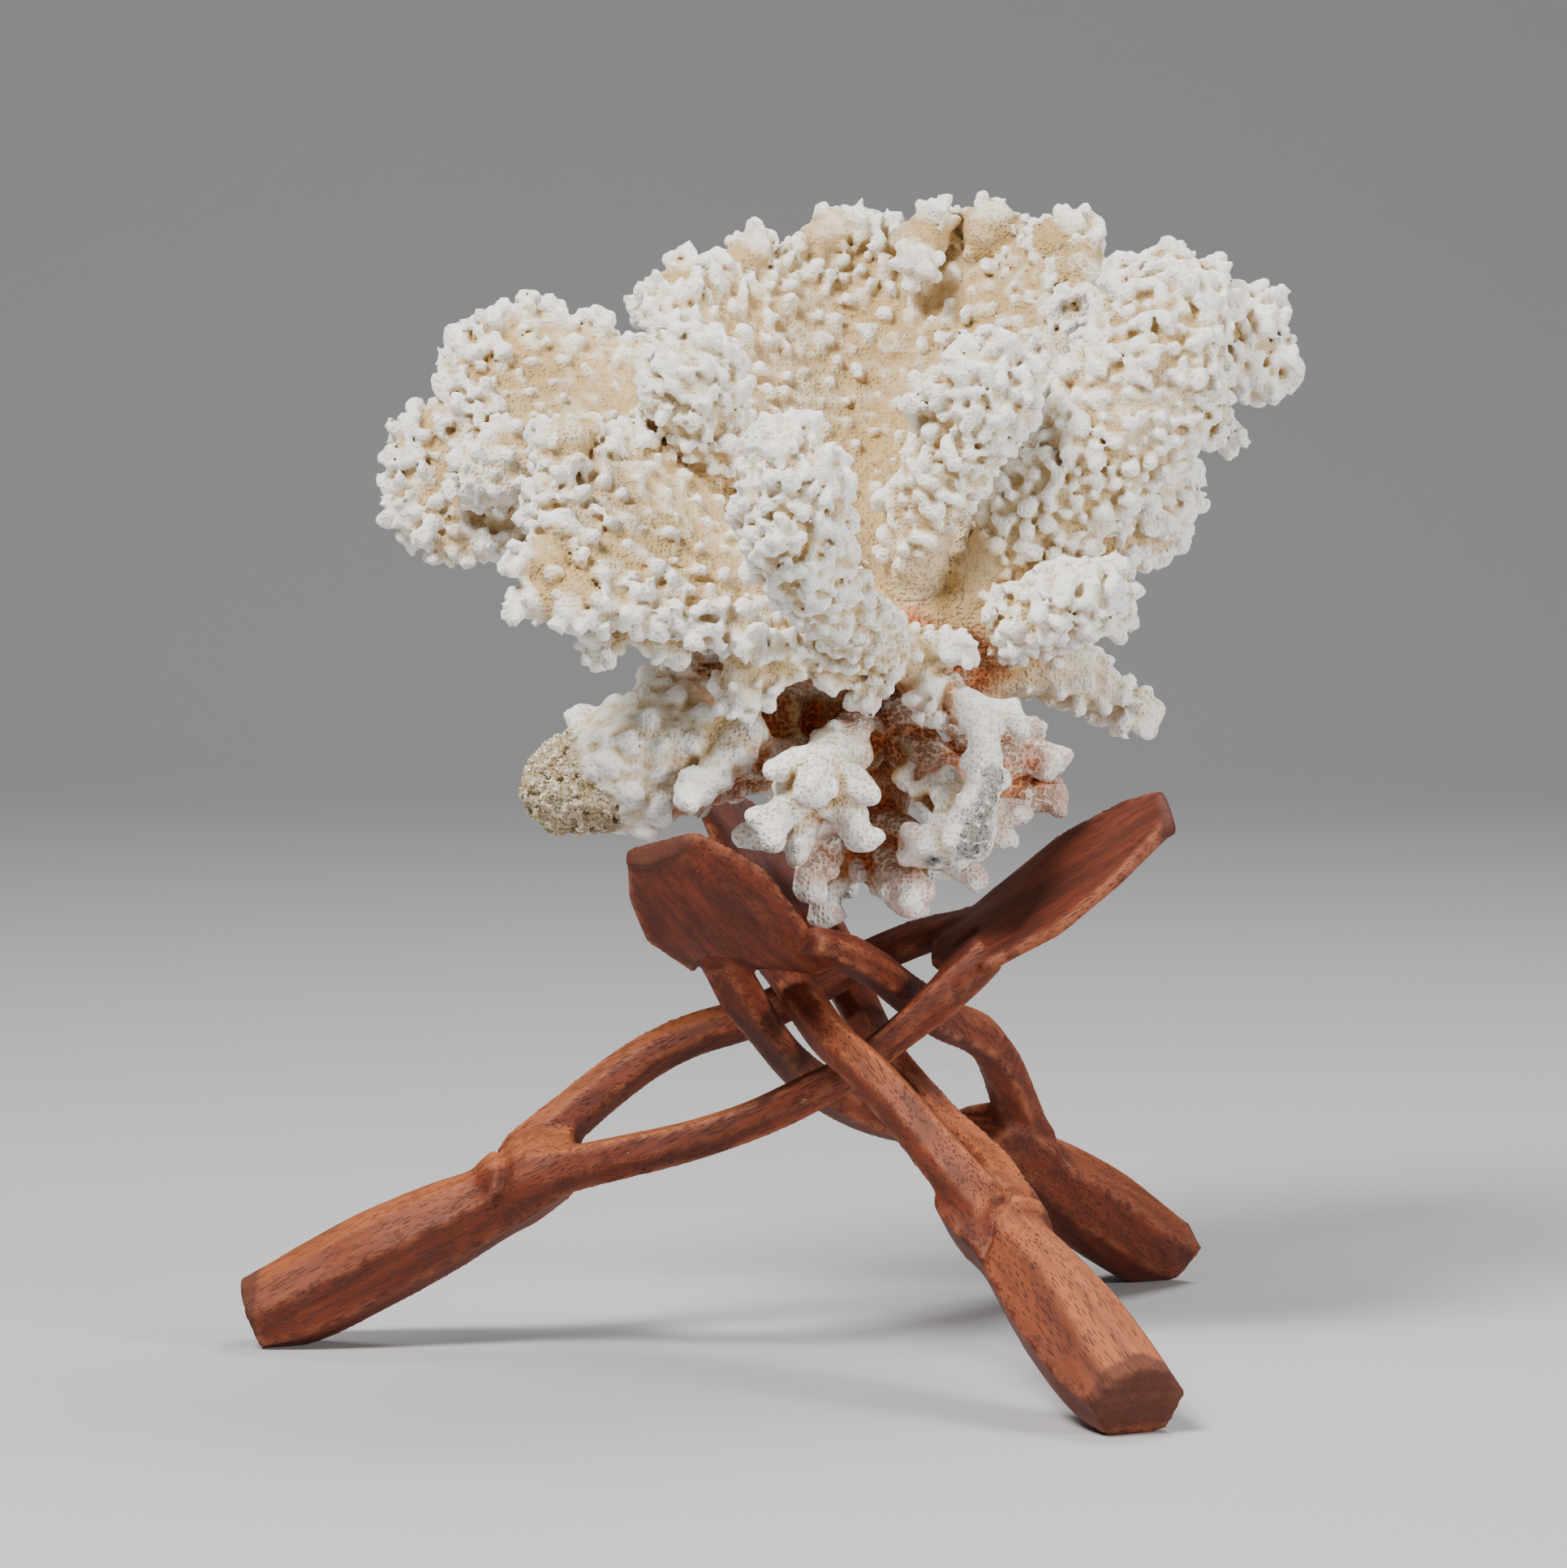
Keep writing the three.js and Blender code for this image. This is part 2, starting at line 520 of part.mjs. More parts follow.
function sectionLoft(stations, sides, grow, phase = 0.5) {
  const points = [];
  const faces = [];
  stations.forEach((s, i) => {
    const a = stations[Math.max(0, i - 1)];
    const b = stations[Math.min(stations.length - 1, i + 1)];
    const along = new THREE.Vector3(b[0] - a[0], b[1] - a[1], b[2] - a[2]).normalize();
    const side = new THREE.Vector3(0, 0, 1).cross(along).normalize();
    const rise = along.clone().cross(side);
    for (let j = 0; j < sides; j++) {
      const turn = (j + phase) / sides * Math.PI * 2;
      const p = new THREE.Vector3(s[0], s[1], s[2]);
      p.addScaledVector(side, Math.cos(turn) * (s[3] + grow));
      p.addScaledVector(rise, Math.sin(turn) * (s[4] + grow));
      points.push(p);
    }
  });
  for (let i = 0; i < stations.length - 1; i++) {
    for (let j = 0; j < sides; j++) {
      const k = (j + 1) % sides;
      const [a, b] = [i * sides + j, i * sides + k];
      faces.push([a, b, a + sides], [b, b + sides, a + sides]);
    }
  }
  const end = (stations.length - 1) * sides;
  for (let j = 1; j < sides - 1; j++) {
    faces.push([0, j + 1, j]);
    faces.push([end, end + j, end + j + 1]);
  }
  return solidFrom(points, faces);
}

function bladeSolid(grow, reach, drop) {
  const points = [];
  const faces = [];
  BLADE.forEach(({ high, hollow, low, ridge, edge }, ring) => {
    const EDGE = edge + grow;
    const further = Math.max(0, ring - 1) / (BLADE.length - 2) * reach;
    const lower = ring < BLADE.length - 1 ? drop : 0;
    const v = [high, hollow, low, ridge].map(([f, s, z]) => new THREE.Vector3(f - further, s, z + 0.7 * further));
    v[0].z -= lower;
    const chord = v[2].clone().sub(v[0]).normalize();
    const lean = v[3].clone().sub(v[1]).normalize();
    points.push(v[0].clone().addScaledVector(lean, -EDGE).addScaledVector(chord, -grow));
    points.push(v[1].clone().addScaledVector(lean, -grow));
    points.push(v[2].clone().addScaledVector(lean, -EDGE).addScaledVector(chord, grow));
    points.push(v[2].clone().addScaledVector(lean, EDGE).addScaledVector(chord, grow));
    points.push(v[3].clone().addScaledVector(lean, grow));
    points.push(v[0].clone().addScaledVector(lean, EDGE).addScaledVector(chord, -grow));
  });
  const sides = 6;
  for (let i = 0; i < BLADE.length - 1; i++) {
    for (let j = 0; j < sides; j++) {
      const k = (j + 1) % sides;
      const [a, b] = [i * sides + j, i * sides + k];
      faces.push([a, b, a + sides], [b, b + sides, a + sides]);
    }
  }
  const end = (BLADE.length - 1) * sides;
  for (let j = 1; j < sides - 1; j++) {
    faces.push([0, j + 1, j]);
    faces.push([end, end + j, end + j + 1]);
  }
  return solidFrom(points, faces);
}

function legSolid(grow, lean, reach, drop) {
  const leaning = FOOT.map(([f, s, z, a, b]) => [f, s + lean * Math.max(0, f - 63) / 65, z, a, b]);
  const foot = sectionLoft(leaning, 8, grow);
  const high = sectionLoft(HIGH_STRAND, 6, grow, 0);
  const low = sectionLoft(LOW_STRAND, 6, grow, 0);
  const whole = foot.add(high).add(low).add(bladeSolid(grow, reach, drop));
  return whole.trimByPlane([0, 0, 1], grow > 0 ? -grow : 0);
}

function legPlaced(grow, azimuth, lean, reach, drop) {
  return legSolid(grow, lean, reach, drop).rotate([0, 0, azimuth]);
}

// Corners nearer each other than the grain are drawn together, so no sliver is left along a cut
const GRAIN = 0.05;

function meshFrom(solid, name, colour, roughness) {
  const { vertProperties, triVerts } = solid.getMesh();
  const cut = new THREE.BufferGeometry();
  cut.setAttribute('position', new THREE.BufferAttribute(new Float32Array(vertProperties), 3));
  cut.setIndex(new THREE.BufferAttribute(new Uint32Array(triVerts), 1));
  const geometry = mergeVertices(cut, GRAIN);
  const index = [...geometry.index.array];
  const kept = new Map();
  for (let i = 0; i < index.length; i += 3) {
    const face = index.slice(i, i + 3);
    const [a, b, c] = face;
    if (a === b || b === c || c === a) continue;
    const key = [...face].sort((p, q) => p - q).join(' ');
    if (kept.has(key)) kept.delete(key);
    else kept.set(key, face);
  }
  geometry.setIndex([...kept.values()].flat());
  geometry.translate(SHIFT_X, SHIFT_Y, 0);
  const flat = geometry.toNonIndexed();
  flat.computeVertexNormals();
  const material = new THREE.MeshStandardMaterial({ color: colour, roughness, metalness: 0 });
  material.name = name.startsWith('leg') ? 'carved_wood' : 'coral_skeleton';
  const mesh = new THREE.Mesh(flat, material);
  mesh.name = name;
  return mesh;
}

const root = new THREE.Group();
root.name = 'branching_coral_on_stand';
const stand = new THREE.Group();
stand.name = 'folding_stand';
const coral = new THREE.Group();
coral.name = 'branching_coral';
root.add(stand);
root.add(coral);

const turnDegrees = STAND_TURN * 180 / Math.PI;
const LEGS = [['leg_left', 180, 0, 4.5, 0], ['leg_front', 300, 0, 0, 0], ['leg_back', 60, -6, 0, 3]];
let blocked = null;
for (const [name, azimuth, lean, reach, drop] of LEGS) {
  const solid = legPlaced(0, azimuth + turnDegrees, lean, reach, drop);
  stand.add(meshFrom(solid, name, WOOD_RED, 0.5));
  const grown = legPlaced(SEAM, azimuth + turnDegrees, lean, reach, drop);
  blocked = blocked ? blocked.add(grown) : grown;
}

let seed = 1;
for (const [name, piece] of Object.entries(CORAL)) {
  const solid = largestBody(coralSolid(piece, 0, seed).subtract(blocked));
  coral.add(meshFrom(solid, name, CORAL_WHITE, 0.85));
  blocked = blocked.add(coralSolid(piece, SEAM, seed));
  seed += 20;
}

export default root;
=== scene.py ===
import math
from collections import namedtuple
from itertools import product

import bmesh
import bpy
import numpy as np
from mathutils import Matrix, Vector


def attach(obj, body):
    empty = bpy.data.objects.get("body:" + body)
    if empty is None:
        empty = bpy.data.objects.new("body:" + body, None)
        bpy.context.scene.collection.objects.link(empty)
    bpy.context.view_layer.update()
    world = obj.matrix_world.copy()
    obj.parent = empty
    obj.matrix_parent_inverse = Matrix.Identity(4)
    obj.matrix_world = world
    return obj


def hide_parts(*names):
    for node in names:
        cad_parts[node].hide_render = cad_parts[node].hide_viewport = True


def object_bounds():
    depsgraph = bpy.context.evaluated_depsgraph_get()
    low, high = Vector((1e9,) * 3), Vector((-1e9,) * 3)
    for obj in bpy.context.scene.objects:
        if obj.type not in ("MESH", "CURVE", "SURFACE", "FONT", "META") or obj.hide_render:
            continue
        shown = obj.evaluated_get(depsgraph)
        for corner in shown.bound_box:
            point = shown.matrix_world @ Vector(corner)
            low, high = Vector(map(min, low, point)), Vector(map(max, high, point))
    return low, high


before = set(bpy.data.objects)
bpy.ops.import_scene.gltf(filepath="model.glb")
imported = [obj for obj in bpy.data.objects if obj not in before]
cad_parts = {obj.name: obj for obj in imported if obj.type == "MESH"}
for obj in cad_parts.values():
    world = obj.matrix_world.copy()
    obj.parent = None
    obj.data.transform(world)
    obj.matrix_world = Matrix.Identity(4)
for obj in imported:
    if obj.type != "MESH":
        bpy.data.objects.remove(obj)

CAD_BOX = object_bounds()

# Placing, in millimetres, the same as the solids
EYE_TILT = math.radians(5.1)
EYE_DISTANCE = 1800.0
EYE_RIGHT, EYE_UP = -12.8, 122.3
STAND_TURN = -2.4
SHIFT = np.array([15.2, 3.6, 0.0])
FRAME_WIDTH = 339.9
MM = 0.001
STEP = 0.8
WOOD_STEP = 0.85
rng = np.random.default_rng(7)


def at(points):
    """Seen right, up and away, in millimetres, as places in space."""
    p = np.asarray(points, float)
    scale = 1 + p[..., 2] / EYE_DISTANCE
    r = EYE_RIGHT + (p[..., 0] - EYE_RIGHT) * scale
    u = EYE_UP + (p[..., 1] - EYE_UP) * scale
    y = u * math.sin(EYE_TILT) + p[..., 2] * math.cos(EYE_TILT)
    z = u * math.cos(EYE_TILT) - p[..., 2] * math.sin(EYE_TILT)
    return np.stack([r, y, z], -1) + SHIFT


def smooth_list(rows, t):
    """A smooth curve through rows of numbers, read at t from 0 to 1."""
    rows = np.asarray(rows, float)
    n = len(rows) - 1
    x = np.clip(np.atleast_1d(t), 0, 1) * n
    i = np.minimum(x.astype(int), n - 1)
    f = (x - i).reshape((-1,) + (1,) * (rows.ndim - 1))
    a, b = rows[np.maximum(i - 1, 0)], rows[i]
    c, d = rows[i + 1], rows[np.minimum(i + 2, n)]
    curve = (c - a) * f + (2 * a - 5 * b + 4 * c - d) * f * f + (3 * b - a - 3 * c + d) * f ** 3
    return b + 0.5 * curve


# The coral, each piece as plates and fingers in seen right, up, away, radius
CORAL = {
    "coral_trunk": {"limbs": [
        [[6, 110, 0, 9], [5, 122, 0, 12], [7, 135, 0, 13], [13, 148, 0, 15], [17, 162, 0, 14]],
        [[22, 150, 0, 10], [28, 160, -2, 11], [30, 170, -4, 9]],
        [[-6, 136, -2, 9], [-10, 128, 0, 8], [-14, 120, 4, 7]],
    ]},
    "coral_back_plate": {"plates": [{"rows": [
        [[0, 160, 2], [6, 160, 6], [12, 160, 8], [18, 161, 8], [26, 164, 4]],
        [[-12, 176, 0], [-2, 174, 14], [8, 174, 20], [18, 176, 18], [28, 180, 6]],
        [[-24, 192, 4], [-10, 190, 24], [6, 190, 34], [22, 192, 28], [36, 196, 10]],
        [[-34, 208, 12], [-16, 206, 34], [4, 207, 46], [26, 208, 40], [46, 212, 18]],
        [[-42, 222, 22], [-20, 224, 42], [2, 226, 56], [28, 228, 50], [53, 226, 26]],
        [[-46, 229, 28], [-22, 238, 48], [2, 241, 62], [30, 245, 56], [55, 241, 32]],
    ], "thick": [14, 11, 9, 8.5, 9, 8]}], "limbs": [
        [[-38, 229, 34, 6], [-32, 236, 36, 4]],
        [[-21, 236, 46, 6], [-19, 241, 47, 4.5]],
        [[-6, 240, 56, 6], [1, 243, 58, 6], [8, 240, 58, 5]],
        [[18, 240, 50, 7], [20, 246, 50, 4]],
        [[32, 242, 50, 8], [33, 247, 50, 7]],
        [[48, 240, 38, 7], [51, 244, 36, 5]],
        [[15, 240, 50, 6], [17, 233, 40, 3.5]],
        [[52, 234, 30, 6], [55, 231, 28, 4]],
    ]},
    "coral_far_left_plate": {"plates": [{"rows": [
        [[-26, 184, 0], [-28, 192, 4], [-30, 200, 10], [-32, 208, 14]],
        [[-42, 182, -6], [-44, 195, 0], [-46, 208, 8], [-48, 220, 16]],
        [[-58, 184, -8], [-60, 199, -2], [-61, 212, 8], [-59, 223, 16]],
        [[-74, 188, -8], [-76, 201, -2], [-75, 215, 8], [-67, 227, 16]],
        [[-82, 192, -6], [-86, 205, 0], [-85, 216, 8], [-78, 225, 14]],
    ], "thick": [12, 10, 9, 9, 8]}, {"rows": [
        [[-54, 176, -8], [-56, 186, -6], [-58, 196, -4]],
        [[-70, 172, -6], [-73, 186, -4], [-74, 200, -2]],
        [[-86, 171, -6], [-89, 186, -2], [-87, 203, 4]],
        [[-94, 174, -4], [-100, 185, 0], [-95, 202, 5]],
    ], "thick": [10, 9, 10, 8]}], "limbs": [
        [[-64, 190, -8, 8], [-74, 190, -12, 9], [-79, 188, -15, 7]],
        [[-70, 196, -8, 7], [-76, 196, -12, 6]],
        [[-84, 174, -8, 4], [-85, 170, -9, 3]],
    ]},
    "coral_knob_branch": {"limbs": [
        [[-20, 180, -6, 8], [-26, 190, -16, 8], [-31, 201, -24, 10], [-33, 211, -28, 10.5],
         [-32, 215, -28, 6]],
        [[-30, 205, -26, 7], [-38, 211, -28, 6]],
        [[-30, 206, -27, 7], [-26, 211, -28, 5.5]],
    ]},
    "coral_front_left_plate": {"plates": [{"rows": [
        [[19, 149, -10], [15, 153, -8], [11, 158, -6], [8, 163, -4], [6, 168, -2]],
        [[2, 145, -32], [-1, 151, -26], [-4, 158, -20], [-6, 167, -12], [-8, 175, -4]],
        [[-14, 150, -43], [-17, 158, -37], [-20, 167, -30], [-23, 178, -20], [-24, 187, -9]],
        [[-32, 154, -51], [-35, 163, -47], [-38, 174, -40], [-40, 186, -30], [-40, 197, -19]],
        [[-48, 157, -57], [-52, 165, -54], [-55, 177, -47], [-55, 190, -37], [-51, 200, -28]],
        [[-58, 157, -60], [-66, 163, -58], [-68, 175, -52], [-68, 189, -44], [-61, 200, -36]],
    ], "thick": [12, 10, 9, 9, 10, 9]}], "limbs": [
        [[-62, 162, -57, 6], [-70, 163, -58, 4.5]],
        [[-64, 170, -55, 7], [-71, 171, -56, 4.5]],
        [[-60, 196, -40, 7], [-66, 197, -40, 5]],
        [[-58, 164, -58, 6], [-60, 158, -60, 4.5]],
        [[-42, 157, -48, 5], [-50, 154, -46, 4], [-54, 152, -46, 3]],
        [[-20, 152, -38, 7], [-22, 143, -38, 6], [-24, 139, -38, 4]],
        [[-14, 150, -38, 6], [-17, 141, -38, 4]],
        [[-36, 157, -44, 5], [-40, 152, -42, 3.5]],
    ]},
    "coral_front_branch": {"limbs": [
        [[18, 149, -12, 8], [9, 152, -28, 8], [1, 159, -44, 9], [-6, 167, -58, 10], [-10, 177, -68, 12],
         [-11, 186, -73, 12], [-11, 194, -75, 8], [-10, 200, -75, 3.5]],
        [[-8, 175, -66, 8], [-19, 179, -68, 5]],
        [[-8, 182, -70, 8], [-19, 186, -71, 4]],
        [[-8, 180, -68, 8], [-1, 180, -70, 5]],
        [[-6, 170, -60, 7], [-17, 171, -64, 5]],
        [[12, 152, -22, 6], [6, 145, -28, 5], [5, 141, -29, 3.5]],
        [[14, 152, -20, 6], [24, 152, -24, 5], [27, 151, -25, 4]],
        [[14, 150, -20, 6], [18, 143, -24, 5], [19, 136, -25, 3]],
    ]},
    "coral_middle_branch": {"limbs": [
        [[15, 164, -4, 9], [16, 174, -10, 9], [20, 186, -17, 9], [27, 198, -24, 10], [31, 208, -29, 11],
         [31, 215, -30, 6]],
        [[18, 182, -14, 7], [12, 184, -16, 4.5]],
        [[28, 206, -27, 8], [17, 205, -28, 5]],
        [[30, 207, -28, 8], [39, 209, -30, 6]],
    ]},
    "coral_right_branch": {"plates": [{"rows": [
        [[22, 160, -6], [28, 159, -8], [36, 158, -6], [42, 158, -2]],
        [[27, 175, -6], [35, 172, -10], [45, 171, -8], [54, 174, -2]],
        [[37, 191, -8], [47, 188, -14], [57, 186, -12], [67, 190, -4]],
        [[47, 206, -8], [57, 204, -17], [68, 202, -17], [79, 203, -6]],
        [[54, 222, -4], [63, 220, -15], [73, 217, -17], [82, 216, -6]],
        [[60, 234, 2], [67, 235, -8], [75, 234, -10], [83, 230, 0]],
    ], "thick": [14, 12, 12, 14, 14, 10]}, {"rows": [
        [[72, 204, 0], [74, 213, 0], [76, 224, 2]],
        [[84, 207, 4], [86, 216, 2], [86, 228, 5]],
        [[93, 207, 8], [97.5, 217, 6], [92.5, 229, 9]],
    ], "thick": [12, 12, 10]}], "limbs": [
        [[72, 208, -6, 6], [80, 201, -5, 5], [85, 197, -5, 3.5]],
        [[70, 232, -6, 7], [72, 237, -4, 5]],
        [[78, 230, -4, 6], [80, 235, -2, 4.5]],
    ]},
    "coral_right_plate": {"plates": [{"rows": [
        [[28, 150, 2], [30, 157, 4], [32, 164, 6]],
        [[44, 156, 0], [46, 166, 2], [46, 176, 4]],
        [[58, 164, 4], [60, 176, 4], [61, 188, 6]],
        [[70, 172, 10], [77, 183, 10], [74, 193, 10]],
    ], "thick": [12, 12, 12, 10]}], "limbs": [
        [[34, 155, -4, 8], [42, 158, -16, 9], [50, 162, -26, 9], [54, 163, -30, 7]],
        [[38, 160, -12, 6], [34, 163, -20, 4]],
        [[44, 160, -24, 6], [46, 161, -34, 4.5]],
        [[52, 160, -22, 6], [60, 159, -22, 4]],
        [[40, 156, -14, 6], [38, 154, -22, 4.5]],
        [[54, 164, -22, 6], [60, 166, -20, 4.5]],
    ]},
    "coral_right_finger": {"limbs": [
        [[24, 143, 6, 8], [36, 147, 4, 8], [46, 147, 4, 7.5], [54, 144, 6, 7], [60, 139, 8, 4.5],
         [63, 136.5, 9, 2.2]],
        [[48, 148, 4, 6], [54, 149, 4, 4]],
    ]},
    "coral_lower_left_branch": {"plates": [{"rows": [
        [[-6, 128, -2], [-6, 134, -4], [-8, 140, -2]],
        [[-20, 124, -10], [-22, 134, -14], [-24, 144, -8]],
        [[-34, 120, -18], [-36, 131, -22], [-38, 143, -10]],
        [[-48, 116, -22], [-50, 125, -25], [-49, 134, -14]],
        [[-62, 115, -22], [-66, 121, -23], [-63, 127, -16]],
    ], "thick": [14, 15, 18, 18, 15]}], "limbs": [
        [[-24, 140, -8, 7], [-32, 146, -6, 6], [-38, 149, -6, 4.5]],
        [[-24, 130, -26, 6.5], [-29, 123, -33, 5.5], [-35, 118, -37, 4.5]],
        [[-22, 132, -24, 6], [-22, 126, -30, 4]],
        [[-50, 134, -16, 6], [-56, 136, -16, 4]],
        [[-46, 120, -26, 6], [-48, 115, -28, 4]],
    ]},
    "coral_lower_front_fingers": {"limbs": [
        [[4, 132, -14, 8], [-1, 129, -26, 7.5], [-5, 124, -38, 6.5], [-6.5, 120, -48, 4.5]],
        [[-3, 127, -34, 5.5], [-10, 127, -38, 4.5], [-14, 125, -40, 4]],
        [[-3, 124, -34, 6], [3, 122, -38, 4.8], [6, 119.5, -40, 3.5]],
        [[-5, 124, -34, 6], [-12, 117, -38, 5], [-17, 112, -40, 4.4]],
        [[-3, 122, -34, 5.5], [2, 114, -36, 4.8], [5, 109.5, -37, 4.2]],
        [[-6, 122, -32, 5.5], [-9, 112, -34, 4.6], [-10, 106, -35, 3.6]],
    ]},
    "coral_lower_right_fingers": {"limbs": [
        [[14, 138, -12, 7], [22, 140, -18, 6], [29, 137, -28, 5], [31, 128, -34, 4.8],
         [30, 120, -36, 5.2], [27, 112, -36, 6.5], [29, 109, -34, 5]],
        [[28, 138, -26, 5], [36, 137, -26, 4], [40, 133, -26, 2.8]],
        [[22, 120, -24, 7], [24, 112, -30, 7], [14, 108, -26, 5.5]],
        [[26, 118, -26, 6], [30, 114, -34, 6]],
        [[22, 122, -20, 6], [34, 127, -16, 5.5], [43, 128, -14, 5], [47, 127, -14, 3.5]],
        [[28, 124, -16, 6], [38, 120, -12, 5.5], [47, 120, -10, 4.2]],
        [[26, 128, -10, 6], [36, 132, -6, 5.5], [42, 134, -4, 4.4]],
        [[28, 116, -20, 5.5], [36, 116, -20, 4.5], [40, 116, -20, 3.2]],
        [[28, 114, -22, 5], [34, 111, -24, 4], [37, 111, -25, 3]],
        [[12, 132, -10, 6], [14, 126, -20, 4], [14, 122, -24, 3]],
        [[16, 130, -12, 7], [22, 122, -20, 7]],
    ]},
    "coral_base_fingers": {"limbs": [
        [[4, 112, -4, 8], [10, 104, -14, 7], [14, 99, -22, 6.4], [15, 97, -24, 5]],
        [[2, 112, -4, 7], [-3, 100, -14, 5], [-4, 93, -18, 4.4]],
        [[0, 112, -10, 6], [-6, 104, -22, 5], [-8, 99, -26, 4]],
        [[8, 112, -8, 7], [20, 108, -16, 5], [28, 103, -20, 4.2], [30, 102, -20, 3]],
        [[2, 110, -6, 6], [3, 104, -16, 3.6], [4, 102, -18, 2.8]],
        [[4, 112, 4, 8], [0, 104, 16, 6], [-4, 98, 24, 4]],
        [[8, 112, 4, 7], [18, 106, 12, 5], [24, 104, 18, 3.6]],
        [[0, 114, 4, 7], [-14, 112, 8, 5.5], [-22, 111, 10, 4]],
    ]},
    "coral_back_left_branch": {"plates": [{"rows": [
        [[-4, 138, 8], [0, 142, 10], [4, 146, 12]],
        [[-16, 142, 24], [-12, 150, 27], [-8, 158, 28]],
        [[-30, 150, 40], [-25, 160, 45], [-18, 171, 45]],
        [[-42, 162, 52], [-34, 174, 58], [-26, 186, 56]],
    ], "thick": [14, 12, 10, 9]}], "limbs": [
        [[-34, 166, 50, 6], [-40, 172, 54, 4.5]],
        [[-26, 178, 54, 6], [-26, 187, 58, 4.5]],
        [[-10, 138, 18, 6], [-20, 134, 30, 4.5], [-24, 133, 34, 3.5]],
    ]},
    "coral_back_right_branch": {"plates": [{"rows": [
        [[15, 141, 7], [19, 146, 9], [24, 151, 10]],
        [[24, 145, 24], [31, 153, 26], [37, 161, 24]],
        [[32, 153, 42], [41, 164, 44], [49, 175, 40]],
        [[38, 165, 56], [49, 178, 58], [59, 189, 52]],
    ], "thick": [14, 12, 10, 9]}], "limbs": [
        [[47, 180, 52, 6.5], [50, 188, 59, 5]],
        [[37, 166, 48, 6], [35, 174, 56, 4.5]],
        [[22, 138, 16, 6], [30, 132, 28, 4.5], [33, 130, 32, 3.5]],
    ]},
    "coral_lower_back_fingers": {"limbs": [
        [[4, 130, 8, 8], [0, 126, 22, 7], [-4, 122, 34, 5], [-6, 120, 38, 3.6]],
        [[8, 128, 8, 8], [14, 124, 24, 6.5], [18, 118, 34, 4.4]],
        [[2, 124, 20, 6], [4, 114, 28, 4.6], [4, 109, 31, 3.6]],
        [[6, 132, 14, 7], [8, 134, 30, 5.5], [8, 136, 38, 4]],
        [[-2, 126, 18, 6], [-14, 124, 24, 4.8], [-19, 122, 26, 3.6]],
        [[14, 126, 18, 6], [26, 122, 18, 4.8], [31, 120, 18, 3.6]],
    ]},
}

# How far the small knobs stand out at the rims, and how far the limbs are drawn in to leave room for them
RIM_LUMPS = 2.6
STOUT_TRIM = 0.8
FINGER_SLIM = 1.2
FINGERED = {
    "coral_lower_front_fingers", "coral_lower_right_fingers", "coral_base_fingers",
    "coral_lower_back_fingers",
}
STOUT = [list(CORAL).index("coral_lower_left_branch")]
INNER_SMOOTH = [list(CORAL).index(n) for n in (
    "coral_back_plate", "coral_front_left_plate", "coral_far_left_plate", "coral_right_finger")]

# Where the skeleton is stained, pink, broken and grey: right, up, away, reach
HOLLOWS = [[8, 128, -20, 6], [20, 116, -26, 5], [-12, 138, -16, 6], [-4, 137, -12, 6]]
# Smooth honeycomb where the branches part
CREAMY = [[18, 160, -8, 10], [11, 163, -6, 8], [24, 168, -8, 11], [14, 172, 10, 12]]
STAINED = [
    [16, 155, -10, 4], [29, 153, -6, 4], [26, 144, -6, 7], [-12, 140, -12, 9],
    [-19, 119, -22, 9], [-24, 113, -22, 7], [5, 134, -14, 10], [-3, 109, -28, 6], [23, 131, -14, 9],
    [17, 118, -14, 9], [37, 130, -14, 7], [40, 120, -12, 6], [-28, 142, -14, 6], [-37, 123, -20, 5],
    [8, 112, -20, 8], [6, 128, 14, 10], [14, 134, 18, 9], [-8, 132, 14, 8],
]
PINK = [
    [15, 98, -30, 6], [19, 98, -28, 4], [-8, 101, -30, 6], [-3, 94, -24, 5], [31, 103, -24, 5],
    [38, 114, -26, 5], [49, 120, -14, 5], [48, 125, -18, 4],
]
BROKEN_TAN = [[-64, 120, -24, 12], [-58, 114, -28, 9], [-62, 125, -22, 9]]
BROKEN_GREY = [
    [33, 120, -41, 3.2], [31, 114, -42, 4], [29, 109, -40, 3.6], [20, 104, -32, 2.6], [33, 124, -39, 2.4],
]
SPECK = [[17.5, 220.5, 40, 1.6]]
# Grains on the broken places: how many to a square metre, their radius in metres, and the seed
BROKEN_PIECES = {
    "coral_lower_left_branch": (1.1e6, 0.00055, 3),
    "coral_lower_right_fingers": (1.0e6, 0.0004, 4),
}

# Knobs, by where they grow: their spacing and how much closer they stand at the rim, their radius and how
# much wider it gets there, how far they rise and how much taller they get, and how softly they join
Knob = namedtuple("Knob", "spacing closer radius wider rise taller join")
INNER_KNOB = Knob(7.2, 4.2, 0.85, 0.6, 0.4, 1.1, 0.8)
OUTER_KNOB = Knob(3.3, 0.5, 1.3, 0.35, 0.6, 0.5, 0.8)
STOUT_KNOB = Knob(6.0, 0.0, 2.3, 0.0, 0.5, 0.0, 2.2)
FINGER_KNOB = Knob(6.0, 0.0, 1.6, 0.0, 0.1, 0.0, 1.5)
KNOB_PLACES = 70000
KNOB_REACH = 1.6
